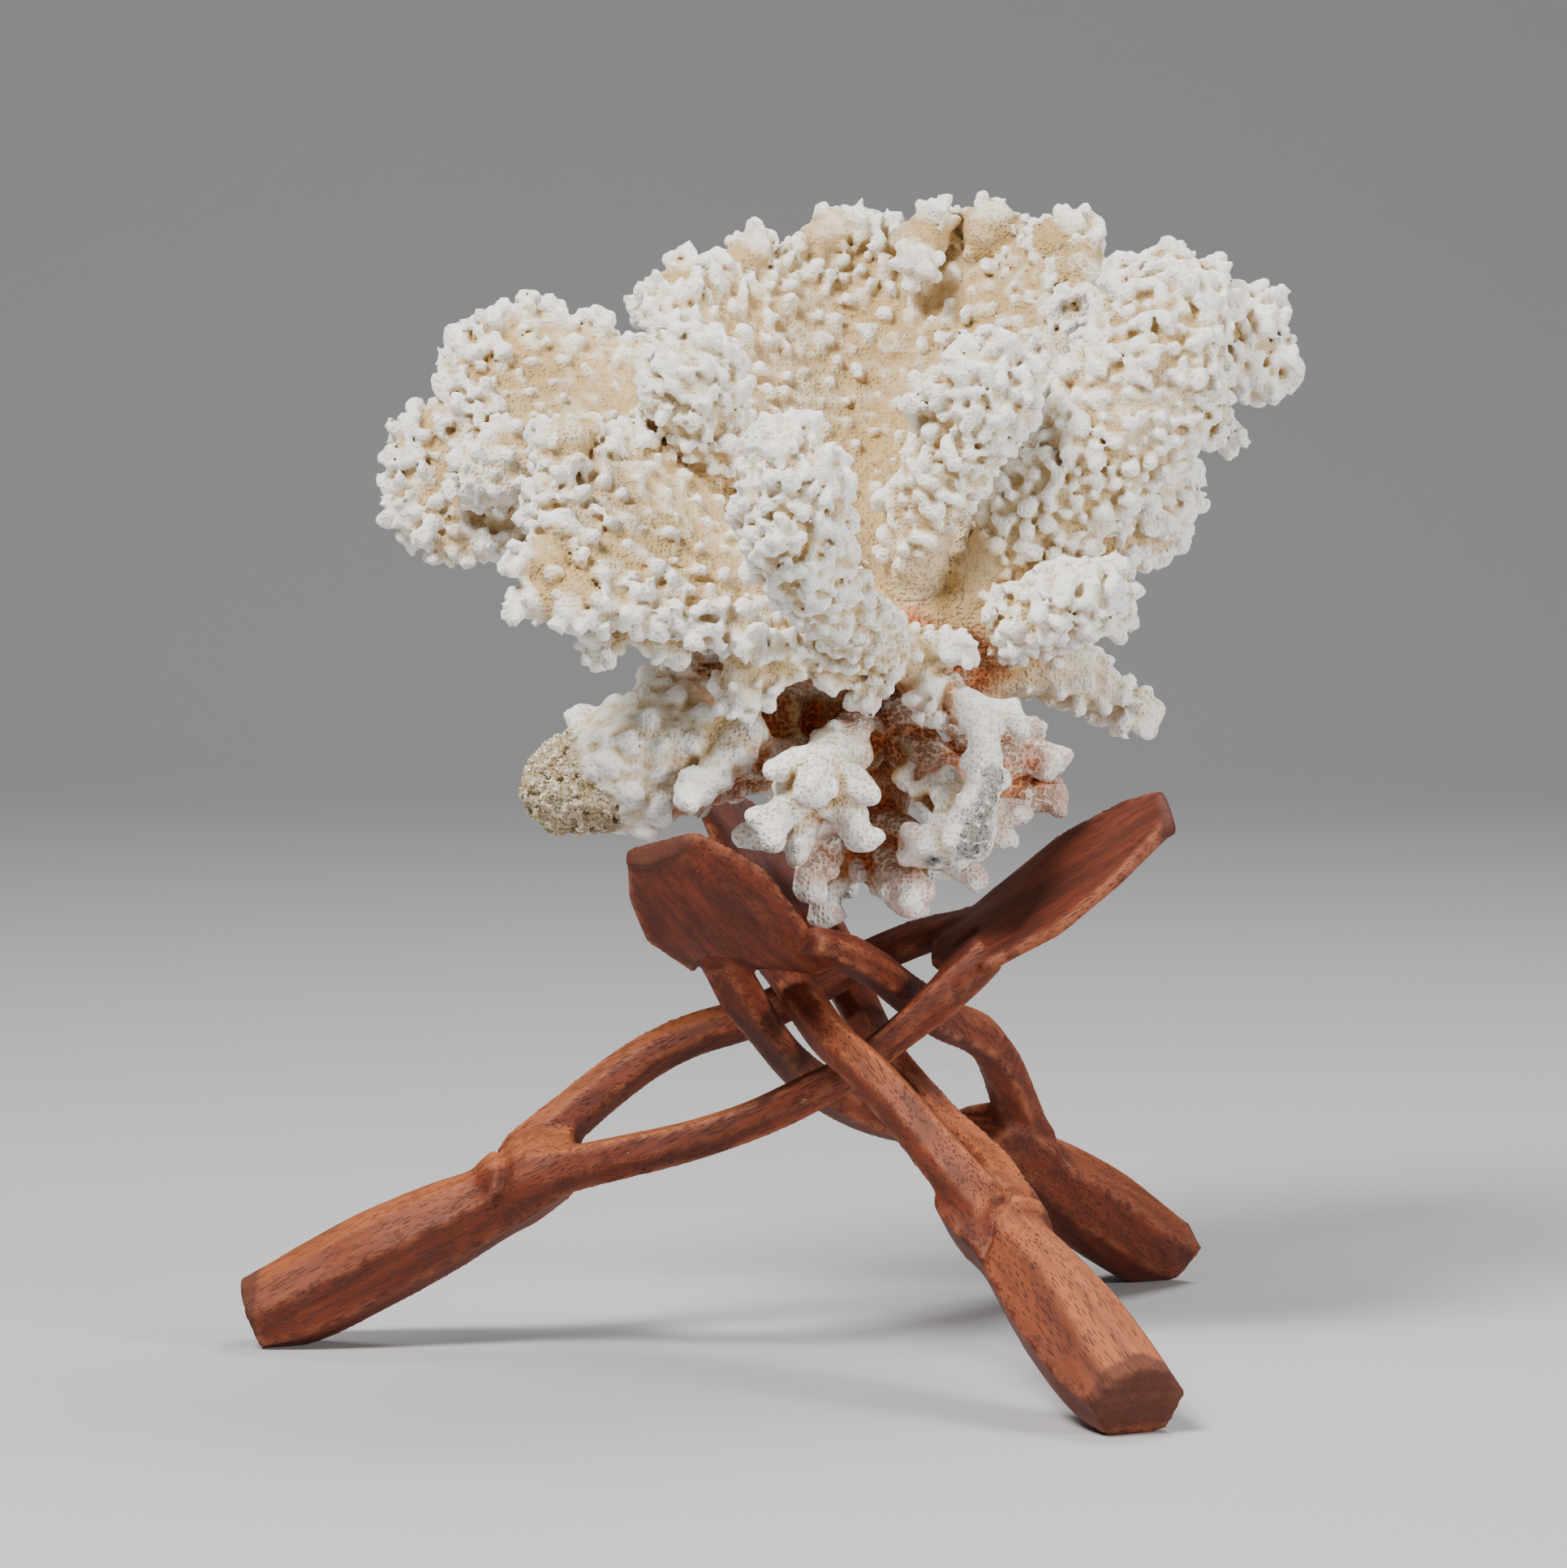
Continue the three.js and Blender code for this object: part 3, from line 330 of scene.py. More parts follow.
# Knobs begin this near to the rim, lean outward from the middle, and stray and vary by these shares
KNOBS_FROM, KNOB_LEANS, KNOB_STRAYS, KNOB_VARIES = 0.12, 0.6, 0.35, 0.28
KNOB_SMALLEST, KNOB_LARGEST, KNOB_SUNK = 0.55, 1.6, 0.6
GROWTH_CENTRE = [14, 150, 0]
SCATTER_CELL = 3.0
LOBES_FROM = 0.6
LOBE_SPACING, LOBE_RADIUS, LOBE_SPREAD, LOBE_RISE = 8.0, 3.2, 1.4, 1.5
PIT_SPACING, PIT_RADIUS, PIT_SPREAD = 1.6, 0.6, 0.6
FIELD_REACH, FIELD_MARGIN, BOX_GAP = 5.0, 19, 0.2
# How softly the forms join, in millimetres
PLATE_JOIN, LIMB_JOIN, FINGER_JOIN, LOBE_JOIN, HOLLOW_JOIN = 2.2, 2.4, 1.5, 1.0, 1.2
STRAND_JOIN, BLADE_JOIN = 2.2, 1.2
# How far the skin is uneven on the fingers, deep in the plates, and more at the rims
UNEVEN_FINGER, UNEVEN_DEEP, UNEVEN_RIM = 0.17, 0.10, 0.30
# How far round a point folds and pits are looked for, in millimetres
FOLD_REACH, PIT_REACH, EDGE_REACH = 5.0, 1.3, 1.6


class Grid:
    """Distances on a box of evenly spaced places, below 0 inside."""

    def __init__(self, low, high, step, far):
        self.low = np.floor(np.asarray(low) / step) * step
        self.step, self.far = step, far
        count = np.ceil((np.asarray(high) - self.low) / step).astype(int) + 1
        self.axes = [(self.low[k] + step * np.arange(count[k])).astype(np.float32) for k in range(3)]
        self.value = np.full(count, far, np.float32)

    def window(self, low, high):
        """The part of the box from low to high, as three slices."""
        first = np.maximum(((np.asarray(low) - self.low) / self.step).astype(int), 0)
        last = np.minimum(((np.asarray(high) - self.low) / self.step).astype(int) + 2, self.value.shape)
        return tuple(slice(int(a), int(max(a, b))) for a, b in zip(first, last))

    def read(self, array, points):
        """The nearest stored value of an array at each point."""
        spot = np.rint((points - self.low) / self.step).astype(int)
        spot = np.clip(spot, 0, np.array(array.shape) - 1)
        return array[spot[:, 0], spot[:, 1], spot[:, 2]]

    def read_between(self, array, points):
        """The value of an array at each point, weighed between the eight stored around it."""
        place = np.clip((points - self.low) / self.step, 0, np.array(array.shape) - 1.001)
        spot = place.astype(int)
        f = (place - spot).astype(np.float32)
        total = np.zeros(len(points), np.float32)
        for x, y, z in CORNERS:
            wx, wy, wz = (f[:, k] if c else 1 - f[:, k] for k, c in enumerate((x, y, z)))
            total += wx * wy * wz * array[spot[:, 0] + x, spot[:, 1] + y, spot[:, 2] + z]
        return total

    def squares(self, centre, radius, margin):
        """The part of the box round a ball, and the squared distance to its centre there."""
        centre = np.asarray(centre)
        part = self.window(centre - radius - margin, centre + radius + margin)
        x, y, z = (self.axes[k][part[k]] - centre[k] for k in range(3))
        return part, (x * x)[:, None, None] + (y * y)[None, :, None] + (z * z)[None, None, :]

    def ball(self, centre, radius, margin):
        """The part of the box round a ball, and the distance to the ball there."""
        part, square = self.squares(centre, radius, margin)
        return part, np.sqrt(square) - radius


def spheres_into(grid, balls, texts):
    """Distance to a cloud of balls in its own window, and the nearest ball's texture."""
    reach = grid.far
    low = (balls[:, :3] - balls[:, 3:4] - reach).min(0)
    high = (balls[:, :3] + balls[:, 3:4] + reach).max(0)
    whole = grid.window(low, high)
    base = [s.start for s in whole]
    shape = [s.stop - s.start for s in whole]
    value = np.full(shape, reach, np.float32)
    text = np.zeros(shape, np.float32)
    for ball, t in zip(balls, texts):
        part, d = grid.ball(ball[:3], ball[3], reach)
        inner = tuple(slice(s.start - b, s.stop - b) for s, b in zip(part, base))
        old = value[inner]
        closer = d < old
        text[inner] = np.where(closer, t, text[inner])
        value[inner] = np.where(closer, d, old)
    return whole, value, text


def blend_in(a, b, k):
    """The smaller of two distances, rounded where they meet."""
    h = np.clip(0.5 + 0.5 * (a - b) / k, 0, 1)
    return a * (1 - h) + b * h - k * h * (1 - h)


def limb_balls(stations, slim):
    """Balls along a limb, slimmer than the solid and pulled in at its end, to leave room for the knobs."""
    places = at([s[:3] for s in stations])
    rows = np.hstack([places, np.array([[s[3]] for s in stations], float)])
    length = np.linalg.norm(np.diff(places, axis=0), axis=1).sum()
    t = np.linspace(0, 1, max(4, int(length / 1.0)))
    balls = smooth_list(rows, t)
    pull = balls[-1, 3] * 0.4 + slim * 0.35
    rest = length * (1 - t)
    kept = (rest >= pull) | (t < 0.4)
    balls[:, 3] = np.maximum(balls[:, 3] - slim, balls[:, 3] * 0.55)
    return balls[kept], t[kept]


def plate_balls(rows, thick, trim):
    """Balls over a plate, thinner to its edges, so that its outline stays where the control points are."""
    spots = at(rows)
    long = np.linalg.norm(np.diff(spots, axis=0), axis=2).sum(0).max()
    wide = np.linalg.norm(np.diff(spots, axis=1), axis=2).sum(1).max()
    ns, nt = int(long / 1.5) + 1, int(wide / 1.5) + 1
    lines = smooth_list(spots, np.linspace(0, 1, ns))
    sheet = np.stack([smooth_list(line, np.linspace(0, 1, nt)) for line in lines])
    half = smooth_list(np.array(thick)[:, None], np.linspace(0, 1, ns))[:, 0] / 2
    border = np.concatenate([sheet[-1], sheet[:, 0], sheet[:, -1]])
    flat = sheet.reshape(-1, 3)
    gap = np.full(len(flat), 99.0)
    for p in border:
        gap = np.minimum(gap, np.linalg.norm(flat - p, axis=1))
    thin = gap * 0.5 + 0.6 + 2.0 * (RIM_LUMPS - trim)
    radius = np.minimum(np.repeat(half, nt) - trim * 0.45, thin)
    s = np.repeat(np.linspace(0, 1, ns), nt)
    kept = gap > trim
    return np.hstack([flat, np.maximum(radius, 1.1)[:, None]])[kept], s[kept], gap[kept]


def build_coral_field():
    """The whole coral as one skeleton, with the piece and the texture nearest to each place."""
    stamps = []
    for number, (name, piece) in enumerate(CORAL.items()):
        finger = name in FINGERED
        for plate in piece.get("plates", []):
            trim = STOUT_TRIM if number in STOUT else RIM_LUMPS
            balls, s, gap = plate_balls(plate["rows"], plate["thick"], trim)
            texture = np.clip(0.25 + 0.5 * s + 0.75 * np.clip(1 - gap / 14, 0, 1), 0, 1)
            texture = np.where(s < 0.3, texture * s / 0.3, texture)
            stamps.append((number, balls, texture, PLATE_JOIN))
        for limb in piece.get("limbs", []):
            slim = FINGER_SLIM if finger else RIM_LUMPS * 0.7
            balls, t = limb_balls(limb, slim)
            texture = np.clip(t * 1.3, 0, 1) * (0.0 if name == "coral_trunk" else 1.0)
            texture = np.where(finger, -0.2 - 0.7 * t, texture)
            stamps.append((number, balls, texture, FINGER_JOIN if finger else LIMB_JOIN))
    every = np.concatenate([b for _, b, _, _ in stamps])
    low, high = every[:, :3].min(0) - FIELD_MARGIN, every[:, :3].max(0) + FIELD_MARGIN
    grid = Grid(low, high, STEP, FIELD_REACH)
    grid.near = np.full(grid.value.shape, 99, np.float32)
    grid.piece = np.zeros(grid.value.shape, np.int8)
    grid.text = np.zeros(grid.value.shape, np.float32)
    for number, balls, texture, k in stamps:
        part, value, text = spheres_into(grid, balls, texture)
        grid.value[part] = blend_in(grid.value[part], value, k)
        closer = value < grid.near[part]
        grid.near[part] = np.where(closer, value, grid.near[part])
        grid.piece[part] = np.where(closer, number, grid.piece[part])
        grid.text[part] = np.where(closer, text, grid.text[part])
    return grid


def box_mean(array, reach):
    """The mean over a cube of the given reach, for how deep or how proud a place is."""
    out = array.astype(np.float32)
    for axis in range(3):
        total = np.cumsum(out, axis=axis, dtype=np.float64)
        n = out.shape[axis]
        high = np.minimum(np.arange(n) + reach, n - 1)
        low = np.arange(n) - reach - 1
        up = np.take(total, high, axis=axis)
        down = np.take(total, np.maximum(low, 0), axis=axis)
        shape = [1, 1, 1]
        shape[axis] = n
        down = np.where((low >= 0).reshape(shape), down, 0)
        out = ((up - down) / (2 * reach + 1)).astype(np.float32)
    return out


CORNERS = np.array([[x, y, z] for x in (0, 1) for y in (0, 1) for z in (0, 1)])
EDGES = [(a, b) for a in range(8) for b in range(a + 1, 8) if np.abs(CORNERS[a] - CORNERS[b]).sum() == 1]


def shared_skin(grid, label):
    """The surface of every labelled piece at once: closed pieces that share their points where they meet.

    Each cell whose corners differ gives one point, and each crossed edge a face with four sides.
    """
    value = grid.value
    nx, ny, nz = label.shape
    first = label[:-1, :-1, :-1]
    mixed = np.zeros(first.shape, bool)
    for x, y, z in CORNERS[1:]:
        mixed |= label[x:nx - 1 + x, y:ny - 1 + y, z:nz - 1 + z] != first
    cells = np.argwhere(mixed)
    number = np.full(mixed.shape, -1, np.int32)
    number[tuple(cells.T)] = np.arange(len(cells))
    near = np.stack([value[tuple((cells + c).T)] for c in CORNERS], 1)
    kind = np.stack([label[tuple((cells + c).T)] for c in CORNERS], 1)
    skin = (near < 0).any(1) & (near >= 0).any(1)
    total = np.zeros((len(cells), 3), np.float32)
    hits = np.zeros(len(cells), np.float32)
    for a, b in EDGES:
        va, vb = near[:, a], near[:, b]
        out = (va < 0) != (vb < 0)
        hit = np.where(skin, out, kind[:, a] != kind[:, b])
        f = np.where(out, va / np.where(out, va - vb, 1), 0.5)[:, None]
        total += np.where(hit[:, None], CORNERS[a] * (1 - f) + CORNERS[b] * f, 0)
        hits += hit
    points = grid.low + (cells + total / hits[:, None]) * grid.step
    faces, owner = [], []
    for axis in range(3):
        u, v = [(1, 2), (2, 0), (0, 1)][axis]
        a, b = [slice(None)] * 3, [slice(None)] * 3
        a[axis], b[axis] = slice(0, -1), slice(1, None)
        spot = np.argwhere(label[tuple(a)] != label[tuple(b)])
        step = np.eye(3, dtype=int)[axis]
        du, dv = np.eye(3, dtype=int)[u], np.eye(3, dtype=int)[v]
        quad = np.stack([number[tuple(r.T)] for r in (spot - du - dv, spot - dv, spot, spot - du)], 1)
        low, high = label[tuple(spot.T)], label[tuple((spot + step).T)]
        faces += [quad[low > 0], quad[high > 0][:, ::-1]]
        owner += [low[low > 0], high[high > 0]]
    return points, np.concatenate(faces), np.concatenate(owner)


def skin_points(grid):
    """Points all over the skin as it is so far."""
    return shared_skin(grid, grid.value < 0)[0]


def normals_of(grid, points):
    """The outward direction at each point, from how the distance grows."""
    out = np.empty((len(points), 3), np.float32)
    spot = np.clip(np.rint((points - grid.low) / grid.step).astype(int), 1, np.array(grid.value.shape) - 2)
    for k in range(3):
        e = np.eye(3, dtype=int)[k]
        out[:, k] = grid.value[tuple((spot + e).T)] - grid.value[tuple((spot - e).T)]
    return out / np.maximum(np.linalg.norm(out, axis=1, keepdims=True), 1e-6)


def near_any(points, spots, soft=0.6):
    """1 within reach of any of the spots, falling to 0 past it."""
    out = np.zeros(len(points), np.float32)
    for spot in spots:
        d = np.linalg.norm(points - at(spot[:3]), axis=1) / spot[3]
        out = np.maximum(out, np.clip((1 + soft - d) / soft, 0, 1))
    return out


def scatter(points, spacing, seed):
    """Evenly spread picks among the points, no two nearer than their spacing."""
    taken = {}
    picks = []
    for i in np.random.default_rng(seed).permutation(len(points)):
        x, y, z = points[i]
        gap = spacing[i]
        key = tuple(int(c // SCATTER_CELL) for c in (x, y, z))
        n = int(gap // SCATTER_CELL) + 1
        spans = (range(c - n, c + n + 1) for c in key)
        near = (q for spot in product(*spans) for q in taken.get(spot, ()))
        if not any((x - q[0]) ** 2 + (y - q[1]) ** 2 + (z - q[2]) ** 2 < gap * gap for q in near):
            taken.setdefault(key, []).append((x, y, z))
            picks.append(i)
    return np.array(picks)


def add_balls(grid, balls, k):
    """Joins a few small balls to the skeleton, rounded where they meet."""
    far, grid.far = grid.far, KNOB_REACH
    part, value, _ = spheres_into(grid, balls, [0] * len(balls))
    grid.far = far
    value = np.where(value >= KNOB_REACH, 9, value)
    grid.value[part] = blend_in(grid.value[part], value, k)


def swell_rims(grid):
    """Broad lobes along the rims, which the knobs then cover."""
    points = skin_points(grid)
    rim = (grid.read(grid.text, points) > LOBES_FROM) & ~np.isin(grid.read(grid.piece, points), STOUT)
    points = points[rim & (near_any(points, CREAMY + STAINED) < 0.3)]
    normal = normals_of(grid, points)
    for i in scatter(points, np.full(len(points), LOBE_SPACING), 21):
        radius = LOBE_RADIUS + LOBE_SPREAD * rng.random()
        add_balls(grid, np.array([[*(points[i] - normal[i] * (radius - LOBE_RISE)), radius]]), LOBE_JOIN)


def inner_face(piece, normal):
    """Where the bowl's inner face is, which is smooth but for a few knobs."""
    return np.isin(piece, INNER_SMOOTH) & (normal[:, 1] < -0.1)


def grow_lumps(grid):
    """The knobs that stand all over the plates, and the fine grain of the fingers."""
    points = skin_points(grid)
    keep = rng.permutation(len(points))[:KNOB_PLACES]
    points = points[keep]
    normal = normals_of(grid, points)
    text = grid.read(grid.text, points)
    piece = grid.read(grid.piece, points)
    inner = inner_face(piece, normal)
    finger = text < 0
    rim = np.clip(text, 0, 1)
    stout = np.isin(piece, STOUT)
    spacing = np.where(inner, INNER_KNOB.spacing - INNER_KNOB.closer * rim,
                       OUTER_KNOB.spacing - OUTER_KNOB.closer * rim)
    spacing = np.where(stout | finger, STOUT_KNOB.spacing, spacing)
    broken = near_any(points, BROKEN_TAN + BROKEN_GREY)
    stained = near_any(points, STAINED, 0.4)
    bare = np.maximum(stained, near_any(points, CREAMY, 0.1))
    wanted = (finger | (rim > KNOBS_FROM)) & (broken < 0.3) & (bare < 0.5)
    points, normal, finger = points[wanted], normal[wanted], finger[wanted]
    spacing, inner, rim, stout = spacing[wanted], inner[wanted], rim[wanted], stout[wanted]
    picks = scatter(points, spacing, 11)
    out = points - at(GROWTH_CENTRE)
    out /= np.linalg.norm(out, axis=1, keepdims=True)
    for i in picks:
        size = min(max(1 + KNOB_VARIES * rng.standard_normal(), KNOB_SMALLEST), KNOB_LARGEST)
        place = inner[i], stout[i], finger[i], True
        kind = (INNER_KNOB, STOUT_KNOB, FINGER_KNOB, OUTER_KNOB)[place.index(True)]
        radius = (kind.radius + kind.wider * rim[i]) * size
        rise = (kind.rise + kind.taller * rim[i]) * size
        axis = normal[i] + KNOB_LEANS * out[i] + KNOB_STRAYS * rng.standard_normal(3)
        axis /= np.linalg.norm(axis)
        steps = np.linspace(-KNOB_SUNK, rise, 3)
        balls = np.array([[*(points[i] + axis * t), radius] for t in steps])
        # a large knob at the rim carries a smaller one on its side
        if rim[i] > 0.5 and size > 1.1:
            side = np.cross(axis, rng.standard_normal(3))
            side /= np.linalg.norm(side)
            twin = points[i] + axis * rise * 0.7 + side * radius * 0.9
            balls = np.vstack([balls, [*twin, radius * 0.75]])
        add_balls(grid, balls, kind.join)


def sink_hollows(grid):
    """The open pits where branches part."""
    for right, up, away, radius in HOLLOWS:
        part, d = grid.ball(at([right, up, away]), radius, 2)
        grid.value[part] = -blend_in(-grid.value[part], d, HOLLOW_JOIN)


def crumble(grid):
    """A fine unevenness over the skeleton, less on the smooth fingers, and never past the solids' box."""
    noise = rng.standard_normal(grid.value.shape).astype(np.float32)
    noise = box_mean(noise, 1)
    noise /= noise.std()
    much = UNEVEN_DEEP + UNEVEN_RIM * np.clip(grid.text, 0, 1)
    grid.value += noise * np.where(grid.text < 0, UNEVEN_FINGER, much).astype(np.float32)
    low, high = (np.array(v) / MM for v in CAD_BOX)
    for k in range(3):
        shape = [1, 1, 1]
        shape[k] = -1
        line = grid.axes[k].reshape(shape)
        past = np.maximum(low[k] + BOX_GAP - line, line - high[k] + BOX_GAP).astype(np.float32)
        grid.value = np.maximum(grid.value, past)


def roughen_broken(grid):
    """Pits in the broken tan end and in the grey patch."""
    points = skin_points(grid)
    broken = near_any(points, BROKEN_TAN, 0.2) + near_any(points, BROKEN_GREY, 0.2)
    points = points[broken > 0.6]
    for i in scatter(points, np.full(len(points), PIT_SPACING), 5):
        radius = PIT_RADIUS + PIT_SPREAD * rng.random()
        part, d = grid.ball(points[i] + 0.5 * rng.standard_normal(3), radius, 1.5)
        grid.value[part] = np.maximum(grid.value[part], -d)


def mesh_object(name, points, faces, layers):
    """A smooth-shaded piece of four-sided faces, with its named values at each point."""
    mesh = bpy.data.meshes.new(name)
    mesh.vertices.add(len(points))
    mesh.vertices.foreach_set("co", (points * MM).astype(np.float32).ravel())
    size = faces.shape[1]
    mesh.loops.add(faces.size)
    mesh.loops.foreach_set("vertex_index", faces.astype(np.int32).ravel())
    mesh.polygons.add(len(faces))
    mesh.polygons.foreach_set("loop_start", np.arange(0, faces.size, size, dtype=np.int32))
    mesh.polygons.foreach_set("use_smooth", np.ones(len(faces), bool))
    mesh.update(calc_edges=True)
    for layer, values in layers.items():
        attribute = mesh.attributes.new(layer, "FLOAT_VECTOR", "POINT")
        attribute.data.foreach_set("vector", values.astype(np.float32).ravel())
    piece = bpy.data.objects.new(name, mesh)
    bpy.context.scene.collection.objects.link(piece)
    return piece


def coral_pieces():
    """Every piece of the coral, cut from one skin, with what its material needs to know at each point."""
    grid = build_coral_field()
    sink_hollows(grid)
    swell_rims(grid)
    grow_lumps(grid)
    crumble(grid)
    roughen_broken(grid)
    label = np.where(grid.value < 0, grid.piece + 1, 0).astype(np.int8)
    points, faces, owner = shared_skin(grid, label)
    solid = (grid.value < 0).astype(np.float32)
    # how much of what lies around each point is solid: much in folds and pits, little on knobs
    wide = grid.read_between(box_mean(solid, int(round(FOLD_REACH / STEP))), points)
    fine = grid.read_between(box_mean(box_mean(solid, int(round(PIT_REACH / STEP))), 1), points)
    text = grid.read(grid.text, points)
    piece = grid.read(grid.piece, points)
    smooth = np.where(text < 0, 1.0, np.clip(1 - text * 1.5, 0.1, 1))
    stain = near_any(points, STAINED, 0.9)
    normal = normals_of(grid, points)
    inner = inner_face(piece, normal)
    rim = np.clip(text, 0, 1)
    # the creamy tone is partly the coral's own colour and partly painted shade: it deepens on the bowl's
    # inner face, in folds and pits and between the knobs, and leaves the knob tips white
    cream_and_shade = np.where(text < 0, 0.1, np.where(inner, 0.95 - 0.75 * rim, 0.45 - 0.4 * rim))
    cream_and_shade += np.clip((wide - 0.40) * 1.7, -0.3, 0.6)
    cream_and_shade += np.clip((fine - 0.47) * np.where(inner, 1.6, 2.8), -0.6, 0.4)
    bare = np.maximum(near_any(points, HOLLOWS, 0.35), 0.8 * near_any(points, CREAMY, 0.5))
    cream_and_shade = np.maximum(cream_and_shade, bare)
    smooth = np.maximum(smooth, bare)
    fold = np.maximum(np.clip((fine - 0.3) * 2.2, 0, 0.75), np.clip((wide - 0.5) * 4, 0, 1))
    tone = np.stack([np.clip(cream_and_shade, 0, 1), fold, smooth], 1)
    mark = np.stack([stain, near_any(points, PINK, 0.8), near_any(points, SPECK, 0.3)], 1)
    tan, grey = near_any(points, BROKEN_TAN, 0.25), near_any(points, BROKEN_GREY, 0.4)
    hurt = np.stack([tan, grey, np.zeros_like(tan)], 1)
    made = []
    for number, name in enumerate(CORAL):
        mine = faces[owner == number + 1]
        used, local = np.unique(mine, return_inverse=True)
        layers = {"tone": tone[used], "mark": mark[used], "hurt": hurt[used]}
        thing = mesh_object(name.replace("coral_", "grown_"), points[used], local.reshape(-1, 4), layers)
        made.append((thing, name))
    return made


# One leg of the stand: distance towards its foot, sideways, up, half across, half up
FOOT = [
    [128.2, 0, 6.4, 10.4, 8.8], [117, 0, 10.6, 11.6, 11], [102, 0, 18.6, 12, 11.2], [88, 0, 25.6, 11, 10],
    [77, 0, 31, 9.6, 8.6], [71, 0, 35, 11, 9.6], [63, 0, 39.5, 10.8, 8.4], [57, 0, 42.5, 7.5, 5.5],
]
HIGH_STRAND = [
    [72, -3, 38, 6.5, 6.5], [60, -7.5, 48.5, 5.6, 5.6], [46, -11.5, 59.5, 5.2, 5.2], [34, -13, 66, 5, 4.9],
    [20, -13, 70.5, 4.9, 4.7], [8, -12.5, 76.3, 5, 4.4], [-4, -12, 82.8, 5.2, 4.2], [-16, -11, 88, 6, 4.2],
    [-28, -9, 92, 5.6, 3.2],
]
LOW_STRAND = [
    [72, 3, 34, 6.5, 6.5], [60, 7.5, 39.5, 5.6, 5.4], [46, 11.5, 43.5, 5.2, 5], [34, 13, 46.5, 5, 4.8],
    [20, 13, 51, 4.9, 4.6], [8, 12.5, 56.5, 4.9, 4.6], [-2, 12, 62, 5, 4.1], [-12, 12, 69.8, 5.2, 3.9],
    [-22, 12, 78.5, 6, 4.6], [-32, 11, 88, 5.4, 4.6],
]
# Blade: high edge, hollow of the inner face, low edge, ridge of the outer face; half its edge's thickness
BLADE = [
    [[-18, -12, 88], [-21, -2, 88.5], [-20, 14, 79], [-20, 0, 82]],
    [[-30, -12.5, 98], [-31, 2, 94.5], [-32, 19, 84.5], [-28, 0, 85]],
    [[-45, -12, 111], [-46, 3, 104], [-47, 20.5, 92.5], [-43, -1, 95]],
    [[-57, -8.5, 116], [-58, 4, 110.5], [-58, 17, 102.5], [-54, 1, 103]],
    [[-66.5, -3.2, 117.4], [-67, 3.4, 117.4], [-66, 12.2, 112.1], [-64.5, 3.6, 110]],
]
BLADE_EDGE = [1.3, 1.3, 1.5, 2, 2.4]
RIDGE_TURN = math.radians(16)
# The tip of the blade is cut across this way, and the blade starts this far from the middle
TIP_FACES = (-0.93, 0.36)
BLADE_STARTS = -19
LEG_BOX = (-76, -26, -2), (134, 26, 126)
STATION_GAP = 0.8
# The grain runs along the leg, which slopes all the way from its blade to its foot
GRAIN_SLOPE = math.radians(-29)
# Where the end grain shows
BLADE_END, FOOT_END = -64.3, 126
# Each leg: which way its foot points, how its foot leans, how much longer and lower its blade is
LEGS = [("leg_left", 180, 0, 4.5, 0), ("leg_front", 300, 0, 0, 0), ("leg_back", 60, -6, 0, 3)]


def bar_field(grid, stations, sides, phase, seed):
    """A carved bar with long flat facets, along its stations."""
    stations = np.asarray(stations, float)
    length = np.linalg.norm(np.diff(stations[:, :3], axis=0), axis=1).sum()
    n = int(length / STATION_GAP)
    line = smooth_list(stations, np.linspace(0, 1, n))
    along = np.gradient(line[:, :3], axis=0)
    along /= np.linalg.norm(along, axis=1, keepdims=True)
    side = np.cross([0, 0, 1.0], along)
    side /= np.linalg.norm(side, axis=1, keepdims=True)
    rise = np.cross(along, side)
    shape = grid.value.shape
    best = np.full(shape, 1e9, np.float32)
    which = np.full(shape, -1, np.int16)
    for i, (x, y, z, a, b) in enumerate(line):
        part, d = grid.squares((x, y, z), max(a, b) * 1.25, 3)
        closer = d < best[part]
        best[part] = np.where(closer, d, best[part])
        which[part] = np.where(closer, i, which[part])
    spot = np.argwhere(which >= 0)
    i = which[tuple(spot.T)]
    v = np.stack([grid.axes[k][spot[:, k]] for k in range(3)], 1) - line[i, :3]
    a = (v * side[i]).sum(1) / line[i, 3]
    b = (v * rise[i]).sum(1) / line[i, 4]
    c = (v * along[i]).sum(1)
    picks = np.random.default_rng(seed)
    d = np.full(len(spot), -9.0)
    travel = i / max(n - 1, 1)
    for k in range(sides):
        turn = (k + phase + 0.5) / sides * math.tau + 0.12 * picks.standard_normal()
        sway = 0.035 * np.sin(travel * 9 + picks.random() * 6.3)
        facet = math.cos(math.pi / sides) * (0.985 + sway)
        d = np.maximum(d, a * math.cos(turn) + b * math.sin(turn) - facet)
    d *= 0.5 * (line[i, 3] + line[i, 4])
    end = np.where(i == 0, -c, np.where(i == n - 1, c, -9))
    d = np.maximum(d, end + 0.1)
    value = np.full(shape, grid.far, np.float32)
    value[tuple(spot.T)] = np.minimum(d, grid.far)
    return value


def blade_rings(reach, drop):
    """The six corners of each ring of the blade, as in the solids."""
    rings = []
    for k, (ring, edge) in enumerate(zip(BLADE, BLADE_EDGE)):
        further = max(0, k - 1) / (len(BLADE) - 2) * reach
        high, hollow, low, ridge = (np.array([f - further, s, z + 0.7 * further]) for f, s, z in ring)
        if k < len(BLADE) - 1:
            high[2] -= drop
        lean = (ridge - hollow) / np.linalg.norm(ridge - hollow)
        thick = lean * edge
        rings.append([high - thick, hollow, low - thick, low + thick, ridge, high + thick])
    return np.array(rings)


